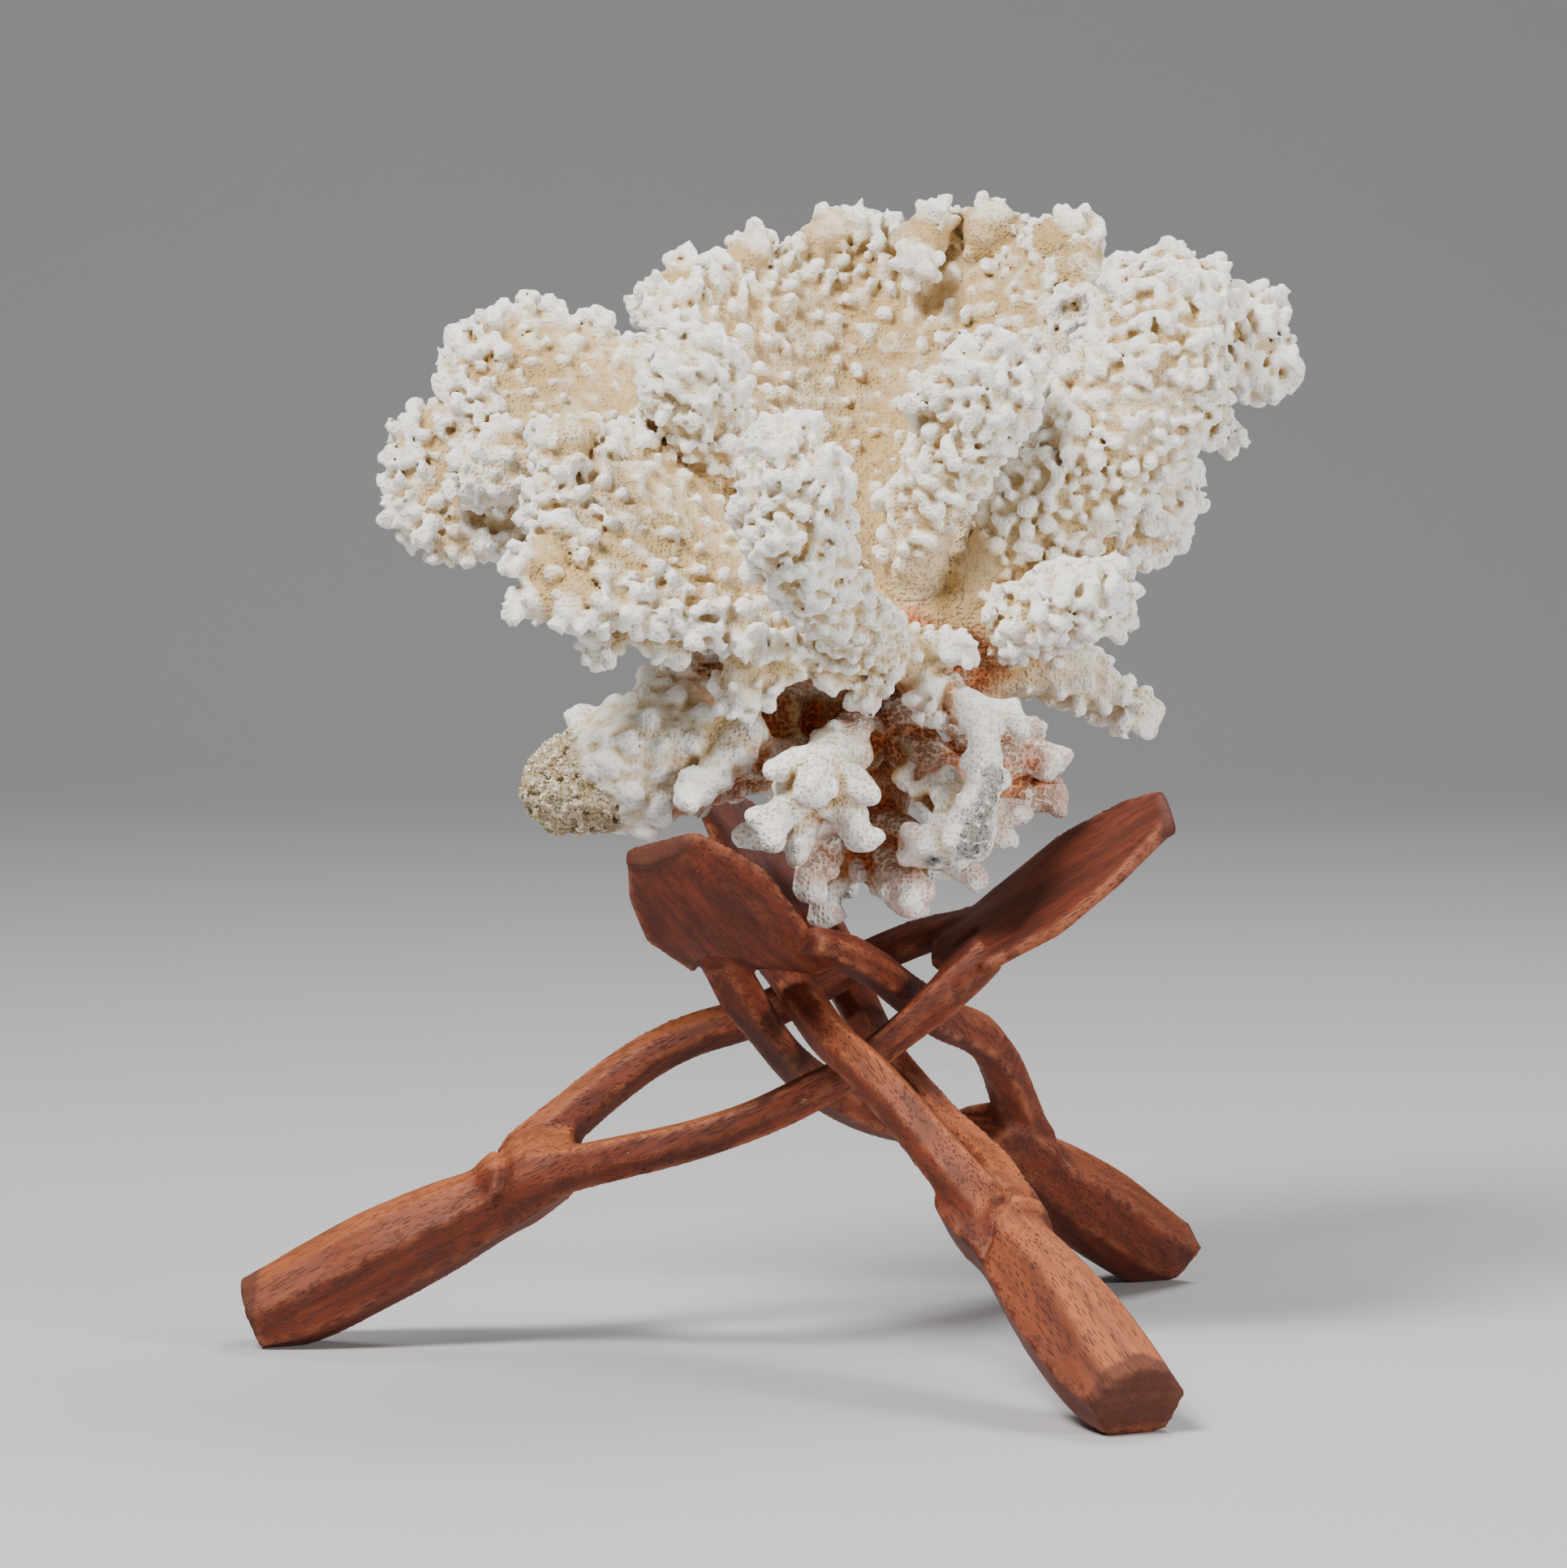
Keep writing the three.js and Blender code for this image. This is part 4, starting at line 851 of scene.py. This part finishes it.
def blade_field(grid, reach, drop):
    """The paddle: between its hollow inner face and its ridged outer face, cut flat at its tip."""
    rings = blade_rings(reach, drop)
    travel = rings[:, :, 0].mean(1)
    order = np.argsort(travel)
    f, s, z = np.meshgrid(*grid.axes, indexing="ij", sparse=True)

    def corner(j, k):
        """The height or the side place of one corner along the blade."""
        return np.interp(grid.axes[0], travel[order], rings[order][:, j, k])[:, None, None]

    def bent(a, b, c):
        """A face in two flats, from corner a over b to c."""
        sa, sb, sc = corner(a, 1), corner(b, 1), corner(c, 1)
        za, zb, zc = corner(a, 2), corner(b, 2), corner(c, 2)
        first = za + (zb - za) * np.clip((s - sa) / (sb - sa), -0.3, 1)
        return np.where(s < sb, first, zb + (zc - zb) * np.clip((s - sb) / (sc - sb), 0, 1.3))

    d = np.maximum((z - bent(0, 1, 2)) * 0.74, (bent(5, 4, 3) - z) * 0.74)
    d = np.maximum(d, (np.minimum(corner(0, 1), corner(5, 1)) - s) * 0.9)
    d = np.maximum(d, (s - np.maximum(corner(2, 1), corner(3, 1))) * 0.9)
    # the outer face is cut in two long flats that meet in a low ridge
    down_s, down_z = corner(4, 1) - corner(5, 1), corner(4, 2) - corner(5, 2)
    span = np.sqrt(down_s * down_s + down_z * down_z)
    down_s, down_z = down_s / span, down_z / span
    from_s, from_z = s - 0.5 * (corner(4, 1) + corner(5, 1)), z - 0.5 * (corner(4, 2) + corner(5, 2))
    outward = from_s * down_z - from_z * down_s
    along = from_s * down_s + from_z * down_z
    d = np.maximum(d, outward * math.cos(RIDGE_TURN) + np.abs(along) * math.sin(RIDGE_TURN))
    tip = rings[-1].mean(0)
    d = np.maximum(d, (f - tip[0]) * TIP_FACES[0] + (z - tip[2]) * TIP_FACES[1])
    d = np.maximum(d, f - BLADE_STARTS)
    return np.minimum(d, grid.far).astype(np.float32)


def carve(grid, value):
    """The notch across the top of the foot, and the curved cut round the tongue under the blade."""
    f, s, z = np.meshgrid(*grid.axes, indexing="ij", sparse=True)
    across = np.abs(f - 75 + 0.3 * s + 0.25 * (z - 40))
    notch = np.clip(1 - across / 1.7, 0, 1) * np.clip((z - 27) / 6, 0, 1) * (f > 60)
    ring = np.sqrt(((f + 27) / 9) ** 2 + ((s - 11) / 6.5) ** 2)
    cut = np.clip(1 - np.abs(ring - 1) * 6.5 / 1.3, 0, 1) * (f < -24) * (z < 94 - 0.5 * s)
    return value + (1.3 * notch + 1.0 * cut).astype(np.float32)


def leg_piece(name, azimuth, lean, reach, drop):
    """One carved leg, placed, with what the wood needs to know at each point."""
    grid = Grid(*LEG_BOX, WOOD_STEP, 4.0)
    foot = [[f, s + lean * max(0, f - 63) / 65, z, a, b] for f, s, z, a, b in FOOT]
    value = bar_field(grid, foot, 8, 0.0, 3)
    value = blend_in(value, bar_field(grid, HIGH_STRAND, 6, 0.3, 4), STRAND_JOIN)
    value = blend_in(value, bar_field(grid, LOW_STRAND, 6, 0.1, 5), STRAND_JOIN)
    value = blend_in(value, box_mean(blade_field(grid, reach, drop), 1), BLADE_JOIN)
    value = carve(grid, value)
    # nothing goes below the ground
    value = np.maximum(value, -grid.axes[2][None, None, :])
    grid.value = value
    points, faces, _ = shared_skin(grid, value < 0)
    solid = (value < 0).astype(np.float32)
    edge = grid.read_between(box_mean(solid, int(round(EDGE_REACH / WOOD_STEP))), points)
    deep = grid.read_between(box_mean(solid, int(round(FOLD_REACH / WOOD_STEP))), points)
    turn = math.radians(azimuth + STAND_TURN)
    cos, sin = math.cos(turn), math.sin(turn)
    spin = np.array([[cos, -sin, 0], [sin, cos, 0], [0, 0, 1]])
    placed = points @ spin.T + SHIFT
    wear = np.clip((0.48 - edge) * 8, 0, 1)
    # painted shade in the recesses, where much of what lies around a point is solid
    recess_shade = np.clip((deep - 0.45) * 3, 0, 1)
    ends = np.clip((BLADE_END - 0.8 * reach - points[:, 0]) / 0.8, 0, 1)
    ends += np.clip((points[:, 0] - FOOT_END) / 1.2, 0, 1)
    cos, sin = math.cos(GRAIN_SLOPE), math.sin(GRAIN_SLOPE)
    along = points[:, 0] * cos + points[:, 2] * sin
    across = points[:, 2] * cos - points[:, 0] * sin
    grain = np.stack([along, points[:, 1], across], 1) * 0.01 + [azimuth * 0.07, 0, 0]
    # the tops of the feet and strands are lighter: partly fading and dust, partly painted light from above
    top = normals_of(grid, points)[:, 2] * np.clip((points[:, 0] + 15) / 50, 0, 1)
    # the wear layer holds the rubbed edges, the painted shade of the recesses and the end grain
    layers = {"grain": grain, "wear": np.stack([wear, recess_shade, np.clip(ends, 0, 1)], 1),
              "faded_and_lit_top": np.stack([np.clip(top, 0, 1)] * 3, 1)}
    return mesh_object("carved_" + name, placed, faces, layers)


def grain_tree(material):
    """Loose sandy grains over the broken places of a skin, each sunk a little into it."""
    tree = bpy.data.node_groups.new("broken_grains", "GeometryNodeTree")
    tree.interface.new_socket("Skin", in_out="INPUT", socket_type="NodeSocketGeometry")
    for label, kind in (("Grains per square metre", "NodeSocketFloat"), ("Grain radius", "NodeSocketFloat"),
                        ("Seed", "NodeSocketInt")):
        tree.interface.new_socket(label, in_out="INPUT", socket_type=kind)
    tree.interface.new_socket("Skin", in_out="OUTPUT", socket_type="NodeSocketGeometry")
    n = Nodes(tree)
    given = n.node("NodeGroupInput").outputs
    hurt = n.node("GeometryNodeInputNamedAttribute", data_type="FLOAT_VECTOR")
    hurt.inputs["Name"].default_value = "hurt"
    tan, grey, _ = n.parts(hurt.outputs["Attribute"])
    broken = n.math("GREATER_THAN", n.math("MAXIMUM", tan, grey), 0.6)
    spread = n.node("GeometryNodeDistributePointsOnFaces", distribute_method="RANDOM")
    n.link(given["Skin"], spread.inputs["Mesh"])
    n.link(n.times(given["Grains per square metre"], broken), spread.inputs["Density"])
    n.link(given["Seed"], spread.inputs["Seed"])
    ball = n.node("GeometryNodeMeshIcoSphere")
    ball.inputs["Subdivisions"].default_value = 1
    n.link(given["Grain radius"], ball.inputs["Radius"])
    turn = n.node("FunctionNodeRandomValue", data_type="FLOAT_VECTOR")
    turn.inputs["Max"].default_value = (math.tau, math.tau, math.tau)
    size = n.node("FunctionNodeRandomValue", data_type="FLOAT_VECTOR")
    size.inputs["Min"].default_value = (0.5, 0.5, 0.4)
    size.inputs["Max"].default_value = (1.3, 1.3, 1.0)
    for random in (turn, size):
        n.link(given["Seed"], random.inputs["Seed"])
    place = n.node("GeometryNodeInstanceOnPoints")
    n.link(spread.outputs["Points"], place.inputs["Points"])
    n.link(ball.outputs["Mesh"], place.inputs["Instance"])
    n.link(turn.outputs["Value"], place.inputs["Rotation"])
    n.link(size.outputs["Value"], place.inputs["Scale"])
    both = n.node("GeometryNodeJoinGeometry")
    n.link(place.outputs["Instances"], both.inputs[0])
    n.link(given["Skin"], both.inputs[0])
    real = n.node("GeometryNodeRealizeInstances")
    n.link(both.outputs[0], real.inputs["Geometry"])
    coat = n.node("GeometryNodeSetMaterial")
    coat.inputs["Material"].default_value = material
    n.link(real.outputs["Geometry"], coat.inputs["Geometry"])
    n.link(coat.outputs["Geometry"], n.node("NodeGroupOutput").inputs["Skin"])
    return tree


def strew_grains(thing, tree, density, radius, seed):
    """Gives a piece its grains for good, as plain mesh."""
    inputs = {s.name: s.identifier for s in tree.interface.items_tree if s.in_out == "INPUT"}
    strewn = thing.modifiers.new("broken_grains", "NODES")
    strewn.node_group = tree
    strewn[inputs["Grains per square metre"]] = density
    strewn[inputs["Grain radius"]] = radius
    strewn[inputs["Seed"]] = seed
    graph = bpy.context.evaluated_depsgraph_get()
    seen = thing.evaluated_get(graph)
    mesh = bpy.data.meshes.new_from_object(seen, preserve_all_data_layers=True, depsgraph=graph)
    thing.modifiers.remove(strewn)
    plain, thing.data = thing.data, mesh
    bpy.data.meshes.remove(plain)
    mesh.name = thing.name


class Nodes:
    """A small hand for building the nodes of a tree."""

    def __init__(self, tree):
        self.tree = tree

    def link(self, a, b):
        self.tree.links.new(a, b)

    def node(self, kind, **values):
        made = self.tree.nodes.new(kind)
        for key, value in values.items():
            setattr(made, key, value)
        return made

    def feed(self, socket, value):
        if isinstance(value, bpy.types.NodeSocket):
            self.link(value, socket)
        else:
            socket.default_value = value

    def layer(self, name):
        made = self.node("ShaderNodeAttribute", attribute_type="GEOMETRY", attribute_name=name)
        return made.outputs["Vector"]

    def parts(self, vector):
        made = self.node("ShaderNodeSeparateXYZ")
        self.link(vector, made.inputs[0])
        return made.outputs[0], made.outputs[1], made.outputs[2]

    def math(self, operation, a, b=0.0, c=0.0, clamp=False):
        made = self.node("ShaderNodeMath", operation=operation, use_clamp=clamp)
        for socket, value in zip(made.inputs, (a, b, c)):
            self.feed(socket, value)
        return made.outputs[0]

    def times(self, a, b):
        return self.math("MULTIPLY", a, b)

    def ramp(self, value, low, high, from_=0.0, to=1.0):
        made = self.node("ShaderNodeMapRange", interpolation_type="SMOOTHSTEP")
        for socket, v in zip(made.inputs, (value, low, high, from_, to)):
            self.feed(socket, v)
        return made.outputs[0]

    def mix(self, fac, a, b, blend="MIX"):
        made = self.node("ShaderNodeMix", data_type="RGBA", blend_type=blend)
        self.feed(made.inputs[0], fac)
        self.feed(made.inputs[6], a)
        self.feed(made.inputs[7], b)
        return made.outputs[2]

    def noise(self, vector, scale, detail=3.0, rough=0.5):
        made = self.node("ShaderNodeTexNoise")
        self.feed(made.inputs["Vector"], vector)
        self.feed(made.inputs["Scale"], scale)
        made.inputs["Detail"].default_value = detail
        made.inputs["Roughness"].default_value = rough
        return made.outputs["Fac"]

    def cells(self, vector, scale, feature="F1", random=1.0):
        made = self.node("ShaderNodeTexVoronoi", feature=feature)
        self.feed(made.inputs["Vector"], vector)
        made.inputs["Scale"].default_value = scale
        made.inputs["Randomness"].default_value = random
        return made.outputs["Distance"]

    def stretch(self, vector, scale):
        made = self.node("ShaderNodeMapping")
        self.link(vector, made.inputs["Vector"])
        made.inputs["Scale"].default_value = scale
        return made.outputs["Vector"]

    def bump(self, height, distance, strength=1.0, normal=None):
        made = self.node("ShaderNodeBump")
        self.feed(made.inputs["Height"], height)
        made.inputs["Distance"].default_value = distance
        self.feed(made.inputs["Strength"], strength)
        if normal is not None:
            self.link(normal, made.inputs["Normal"])
        return made.outputs["Normal"]


class MaterialNodes(Nodes):
    """The nodes of a new material, which already holds its shader."""

    def __init__(self, name):
        self.material = bpy.data.materials.new(name)
        self.material.use_nodes = True
        super().__init__(self.material.node_tree)
        self.tree.nodes.clear()
        out = self.node("ShaderNodeOutputMaterial")
        self.shader = self.node("ShaderNodeBsdfPrincipled")
        self.link(self.shader.outputs["BSDF"], out.inputs["Surface"])

    def dust(self, group, place, specks, film):
        """Places the shared dust with its own values: its specks and the film they lie in."""
        made = self.node("ShaderNodeGroup", node_tree=group)
        self.feed(made.inputs["Place"], place)
        made.inputs["Specks per metre"].default_value = specks
        made.inputs["Films per metre"].default_value = film
        return made.outputs["Specks"], made.outputs["Film"]


# Colours
CORAL_PALE = (0.90, 0.885, 0.85, 1)
CORAL_CREAM = (0.80, 0.72, 0.57, 1)
# deep brown of the bowl, partly the coral's own colour and partly painted shade
CORAL_DEEP_AND_SHADE = (0.54, 0.37, 0.165, 1)
STAIN_ORANGE = (0.74, 0.29, 0.12, 1)
STAIN_RUST = (0.64, 0.14, 0.022, 1)
STAIN_DARK = (0.30, 0.085, 0.035, 1)
TIP_PINK = (0.66, 0.33, 0.27, 1)
SAND_DARK = (0.50, 0.37, 0.20, 1)
SAND_PALE = (0.84, 0.74, 0.56, 1)
ASH_DARK = (0.30, 0.29, 0.27, 1)
ASH_PALE = (0.80, 0.79, 0.76, 1)
SPECK_DARK = (0.1, 0.1, 0.1, 1)
# painted shade inside the pores, creamy or rust-coloured where stained
PORE_SHADE_CREAM = (0.50, 0.36, 0.21, 1)
PORE_SHADE_RUST = (0.17, 0.03, 0.012, 1)
DUST_IN_FOLDS = (0.42, 0.38, 0.33, 1)
WOOD_DARK = (0.058, 0.006, 0.0018, 1)
WOOD_RED = (0.165, 0.024, 0.006, 1)
WOOD_FIBRE = (0.32, 0.085, 0.026, 1)
WOOD_BLOTCH = (0.05, 0.008, 0.003, 1)
# painted shade in the wood's recesses
WOOD_RECESS_SHADE = (0.055, 0.012, 0.006, 1)
WOOD_RUBBED = (0.40, 0.13, 0.055, 1)
# lighter tops, partly fading and partly painted light from above
WOOD_FADED_AND_LIT = (0.50, 0.15, 0.05, 1)
WOOD_PORE = (0.035, 0.009, 0.006, 1)
WOOD_END = (0.07, 0.022, 0.014, 1)
DUST_ON_WOOD = (0.55, 0.48, 0.44, 1)
FLOOR_GREY = (0.50, 0.50, 0.51, 1)
STUDIO_AIR = (0.90, 0.90, 0.92, 1)


def dust_group():
    """Fine pale dust that has settled in films, for both the coral and the wood."""
    tree = bpy.data.node_groups.new("settled_dust", "ShaderNodeTree")
    tree.interface.new_socket("Place", in_out="INPUT", socket_type="NodeSocketVector")
    for label, way in (("Specks per metre", "INPUT"), ("Films per metre", "INPUT"),
                       ("Specks", "OUTPUT"), ("Film", "OUTPUT")):
        tree.interface.new_socket(label, in_out=way, socket_type="NodeSocketFloat")
    n = Nodes(tree)
    given = n.node("NodeGroupInput").outputs
    fine = n.ramp(n.noise(given["Place"], given["Specks per metre"], 2.0), 0.70, 0.76)
    film = n.ramp(n.noise(given["Place"], given["Films per metre"], 4.0), 0.52, 0.72)
    result = n.node("NodeGroupOutput").inputs
    n.link(n.times(fine, film), result["Specks"])
    n.link(film, result["Film"])
    return tree


def coral_material(dust):
    """White coral: creamy in its depths, partly its own colour and partly painted shade, with honeycomb
    pores darkened by painted shade, rust stains and its two broken places.
    """
    n = MaterialNodes("coral_skeleton_detail")
    place = n.node("ShaderNodeTexCoord").outputs["Object"]
    cream_and_shade, fold, smooth = n.parts(n.layer("tone"))
    stain, pink, speck = n.parts(n.layer("mark"))
    tan, grey, _ = n.parts(n.layer("hurt"))
    broad = n.noise(place, 55.0, 4.0, 0.6)
    fine = n.noise(place, 900.0, 3.0, 0.6)
    # pores about 1.05 mm apart, plainest on the smooth parts, in the folds and in the stains, darkened with
    # painted shade
    warp = n.node("ShaderNodeVectorMath", operation="MULTIPLY_ADD")
    shake = n.node("ShaderNodeTexNoise")
    n.link(place, shake.inputs["Vector"])
    shake.inputs["Scale"].default_value = 300.0
    n.link(shake.outputs["Color"], warp.inputs[0])
    warp.inputs[1].default_value = (0.0005, 0.0005, 0.0005)
    n.link(place, warp.inputs[2])
    near = n.cells(warp.outputs[0], 950.0, "F1", 0.75)
    pore = n.math("MAXIMUM", n.ramp(near, 0.52, 0.2), n.times(n.ramp(near, 0.6, 0.4), stain))
    tiny = n.cells(place, 2400.0, "F1", 1.0)
    shown = n.math("MULTIPLY_ADD", smooth, 0.5, n.math("MULTIPLY_ADD", fold, 0.4, 0.22), clamp=True)
    shown = n.times(shown, n.ramp(n.noise(place, 130.0, 2.0), 0.3, 0.6, 0.35, 1.0))
    # the creamy and deep brown tones of the bowl are partly the coral's own colour and partly painted shade
    deep = n.times(cream_and_shade, n.ramp(broad, 0.3, 0.7, 0.75, 1.0))
    colour = n.mix(n.ramp(deep, 0.0, 0.45), CORAL_PALE, CORAL_CREAM)
    colour = n.mix(n.ramp(deep, 0.3, 0.95), colour, CORAL_DEEP_AND_SHADE)
    rust = n.times(stain, n.ramp(fold, 0.2, 0.6, 0.25, 1.0))
    colour = n.mix(n.times(rust, 0.8), colour, STAIN_ORANGE)
    strong = n.times(rust, n.ramp(n.noise(place, 95.0, 3.0), 0.46, 0.6))
    colour = n.mix(n.times(strong, 0.85), colour, STAIN_RUST)
    colour = n.mix(n.times(stain, n.ramp(fold, 0.55, 1.0, 0.0, 0.6)), colour, STAIN_DARK)
    blush = n.times(pink, n.ramp(n.noise(place, 160.0, 3.0), 0.4, 0.62))
    colour = n.mix(n.times(blush, 0.55), colour, TIP_PINK)
    speckle = n.ramp(n.noise(place, 420.0, 4.0, 0.7), 0.42, 0.6)
    sand = n.mix(speckle, SAND_DARK, SAND_PALE)
    colour = n.mix(tan, colour, sand)
    ash = n.mix(speckle, ASH_DARK, ASH_PALE)
    colour = n.mix(n.times(grey, n.ramp(broad, 0.3, 0.5, 0.5, 0.95)), colour, ash)
    colour = n.mix(speck, colour, SPECK_DARK)
    shown = n.math("MAXIMUM", shown, n.times(stain, 0.9))
    # painted shade inside the pores, rust-coloured where stained
    dark = n.times(pore, n.times(shown, n.math("ADD", n.times(stain, 0.35), 0.5)))
    hollow = n.mix(rust, PORE_SHADE_CREAM, PORE_SHADE_RUST)
    colour = n.mix(dark, colour, hollow)
    specks, film = n.dust(dust, place, 1100.0, 45.0)
    settled = n.times(n.math("MULTIPLY_ADD", specks, 0.4, n.times(film, 0.12)), fold)
    colour = n.mix(settled, colour, DUST_IN_FOLDS)
    n.feed(n.shader.inputs["Base Color"], colour)
    n.feed(n.shader.inputs["Roughness"], n.ramp(fine, 0.2, 0.8, 0.62, 0.85))
    n.shader.inputs["Specular IOR Level"].default_value = 0.3
    n.shader.inputs["Subsurface Weight"].default_value = 0.12
    n.shader.inputs["Subsurface Radius"].default_value = (1.0, 0.8, 0.55)
    n.shader.inputs["Subsurface Scale"].default_value = 0.002
    depth = n.times(pore, n.math("ADD", n.times(shown, 0.85), 0.15))
    normal = n.bump(n.math("SUBTRACT", 1.0, depth), 0.0005, 0.9)
    normal = n.bump(n.math("ADD", n.times(fine, 0.6), n.times(tiny, 0.5)), 0.00022, 0.7, normal)
    rough = n.bump(n.times(speckle, n.math("ADD", tan, grey, clamp=True)), 0.0008, 0.8, normal)
    n.feed(n.shader.inputs["Normal"], rough)
    return n.material


def wood_material(dust):
    """Red-brown wood with its grain, open pores, rubbed edges, painted shade in its recesses, tops lighter
    partly from fading and partly from painted light, dark ends and a little dust.
    """
    n = MaterialNodes("carved_wood_detail")
    grain = n.layer("grain")
    place = n.node("ShaderNodeTexCoord").outputs["Object"]
    wear, recess_shade, end = n.parts(n.layer("wear"))
    top, _, _ = n.parts(n.layer("faded_and_lit_top"))
    figure = n.noise(n.stretch(grain, (1.0, 9.0, 9.0)), 3.2, 4.0, 0.6)
    fibre = n.noise(n.stretch(grain, (3.0, 90.0, 90.0)), 6.0, 3.0, 0.6)
    # short dark open pores along the grain
    dash = n.cells(n.stretch(grain, (22.0, 240.0, 240.0)), 1.0, "F1", 1.0)
    patch = n.ramp(n.noise(n.stretch(grain, (6.0, 22.0, 22.0)), 1.0, 2.0), 0.32, 0.48)
    open_pore = n.times(n.ramp(dash, 0.36, 0.22), patch)
    colour = n.mix(n.ramp(figure, 0.32, 0.68), WOOD_DARK, WOOD_RED)
    colour = n.mix(n.times(n.ramp(fibre, 0.4, 0.75), 0.3), colour, WOOD_FIBRE)
    blotch = n.ramp(n.noise(place, 34.0, 3.0), 0.35, 0.7)
    colour = n.mix(n.times(blotch, 0.3), colour, WOOD_BLOTCH)
    # painted shade in the recesses
    colour = n.mix(n.times(recess_shade, 0.55), colour, WOOD_RECESS_SHADE)
    rubbed = n.times(wear, n.ramp(n.noise(place, 240.0, 3.0), 0.35, 0.6))
    colour = n.mix(n.times(rubbed, 0.5), colour, WOOD_RUBBED)
    # upward faces lightened: partly fading, partly painted light from above
    pale = n.times(n.ramp(top, 0.35, 0.95), n.ramp(figure, 0.3, 0.6, 0.35, 0.65))
    colour = n.mix(pale, colour, WOOD_FADED_AND_LIT)
    colour = n.mix(n.times(open_pore, 0.8), colour, WOOD_PORE)
    colour = n.mix(n.times(end, 0.75), colour, WOOD_END)
    specks, film = n.dust(dust, place, 1500.0, 60.0)
    colour = n.mix(n.times(specks, 0.5), colour, DUST_ON_WOOD)
    n.feed(n.shader.inputs["Base Color"], colour)
    sheen = n.math("ADD", n.ramp(fibre, 0.2, 0.8, 0.54, 0.68), n.times(end, 0.2))
    n.feed(n.shader.inputs["Roughness"], n.math("ADD", sheen, n.times(film, 0.12)))
    n.shader.inputs["Specular IOR Level"].default_value = 0.35
    normal = n.bump(n.math("SUBTRACT", 1.0, open_pore), 0.00018, 0.8)
    normal = n.bump(fibre, 0.00012, 0.5, normal)
    tool = n.noise(n.stretch(grain, (4.0, 7.0, 7.0)), 2.0, 1.0)
    n.feed(n.shader.inputs["Normal"], n.bump(tool, 0.0009, 0.5, normal))
    return n.material


def floor_material():
    """The plain floor of the studio."""
    n = MaterialNodes("studio_floor")
    n.shader.inputs["Base Color"].default_value = FLOOR_GREY
    n.shader.inputs["Roughness"].default_value = 0.6
    return n.material


def make_camera():
    """The photo's camera."""
    data = bpy.data.cameras.new("photo_camera")
    data.sensor_width = 36.0
    data.lens = 36.0 * EYE_DISTANCE / FRAME_WIDTH
    data.clip_end = 30
    eye = bpy.data.objects.new("photo_camera", data)
    # just short of the eye itself, where the scale would be 0
    place = at([EYE_RIGHT, EYE_UP, -EYE_DISTANCE * 0.999999]) * MM
    ahead = Vector((0, math.cos(EYE_TILT), -math.sin(EYE_TILT)))
    eye.location = Vector(place)
    eye.rotation_euler = ahead.to_track_quat("-Z", "Y").to_euler()
    bpy.context.scene.collection.objects.link(eye)
    bpy.context.scene.camera = eye


def lamp(name, place, size, power, colour, target=(0, 0, 0.13)):
    """A square lamp that looks at the middle of the part."""
    data = bpy.data.lights.new(name, "AREA")
    data.shape = "RECTANGLE"
    data.size, data.size_y = size
    data.energy = power
    data.color = colour
    light = bpy.data.objects.new(name, data)
    light.location = place
    light.rotation_euler = (Vector(target) - Vector(place)).to_track_quat("-Z", "Y").to_euler()
    bpy.context.scene.collection.objects.link(light)


def make_studio():
    """A floor that curves up behind the part, the light of the room and three lamps, all in metres."""
    front, back, bend, top, side = -3.0, 1.32, 0.9, 2.4, 3.5
    profile = [(front, 0.0), (back, 0.0)]
    for k in range(1, 17):
        turn = k / 16 * math.pi / 2
        profile.append((back + bend * math.sin(turn), bend - bend * math.cos(turn)))
    profile.append((back + bend, top))
    bm = bmesh.new()
    lines = [[bm.verts.new((x, y, z)) for y, z in profile] for x in (-side, side)]
    for a, b, c, d in zip(lines[0], lines[1], lines[1][1:], lines[0][1:]):
        bm.faces.new((a, b, c, d)).smooth = True
    mesh = bpy.data.meshes.new("studio_floor")
    bm.to_mesh(mesh)
    bm.free()
    floor = bpy.data.objects.new("studio_floor", mesh)
    bpy.context.scene.collection.objects.link(floor)
    mesh.materials.append(floor_material())
    world = bpy.data.worlds.new("studio")
    world.use_nodes = True
    air = world.node_tree.nodes["Background"]
    air.inputs["Color"].default_value = STUDIO_AIR
    air.inputs["Strength"].default_value = 0.085
    bpy.context.scene.world = world
    lamp("key", (-0.52, -0.62, 1.12), (0.42, 0.42), 30.0, (1.0, 0.97, 0.93))
    lamp("fill", (1.1, -0.75, 0.42), (0.35, 0.35), 15.0, (1.0, 0.98, 0.96))
    lamp("top", (0.35, 0.45, 1.05), (0.5, 0.4), 9.0, (1.0, 1.0, 1.0))


make_camera()
make_studio()
dust = dust_group()
skeleton = coral_material(dust)
wood = wood_material(dust)
grains = grain_tree(skeleton)
for thing, node in coral_pieces():
    thing.data.materials.append(skeleton)
    if node in BROKEN_PIECES:
        strew_grains(thing, grains, *BROKEN_PIECES[node])
    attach(thing, "root")
    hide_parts(node)
for node, azimuth, lean, reach, drop in LEGS:
    thing = leg_piece(node, azimuth, lean, reach, drop)
    thing.data.materials.append(wood)
    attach(thing, "root")
    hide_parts(node)
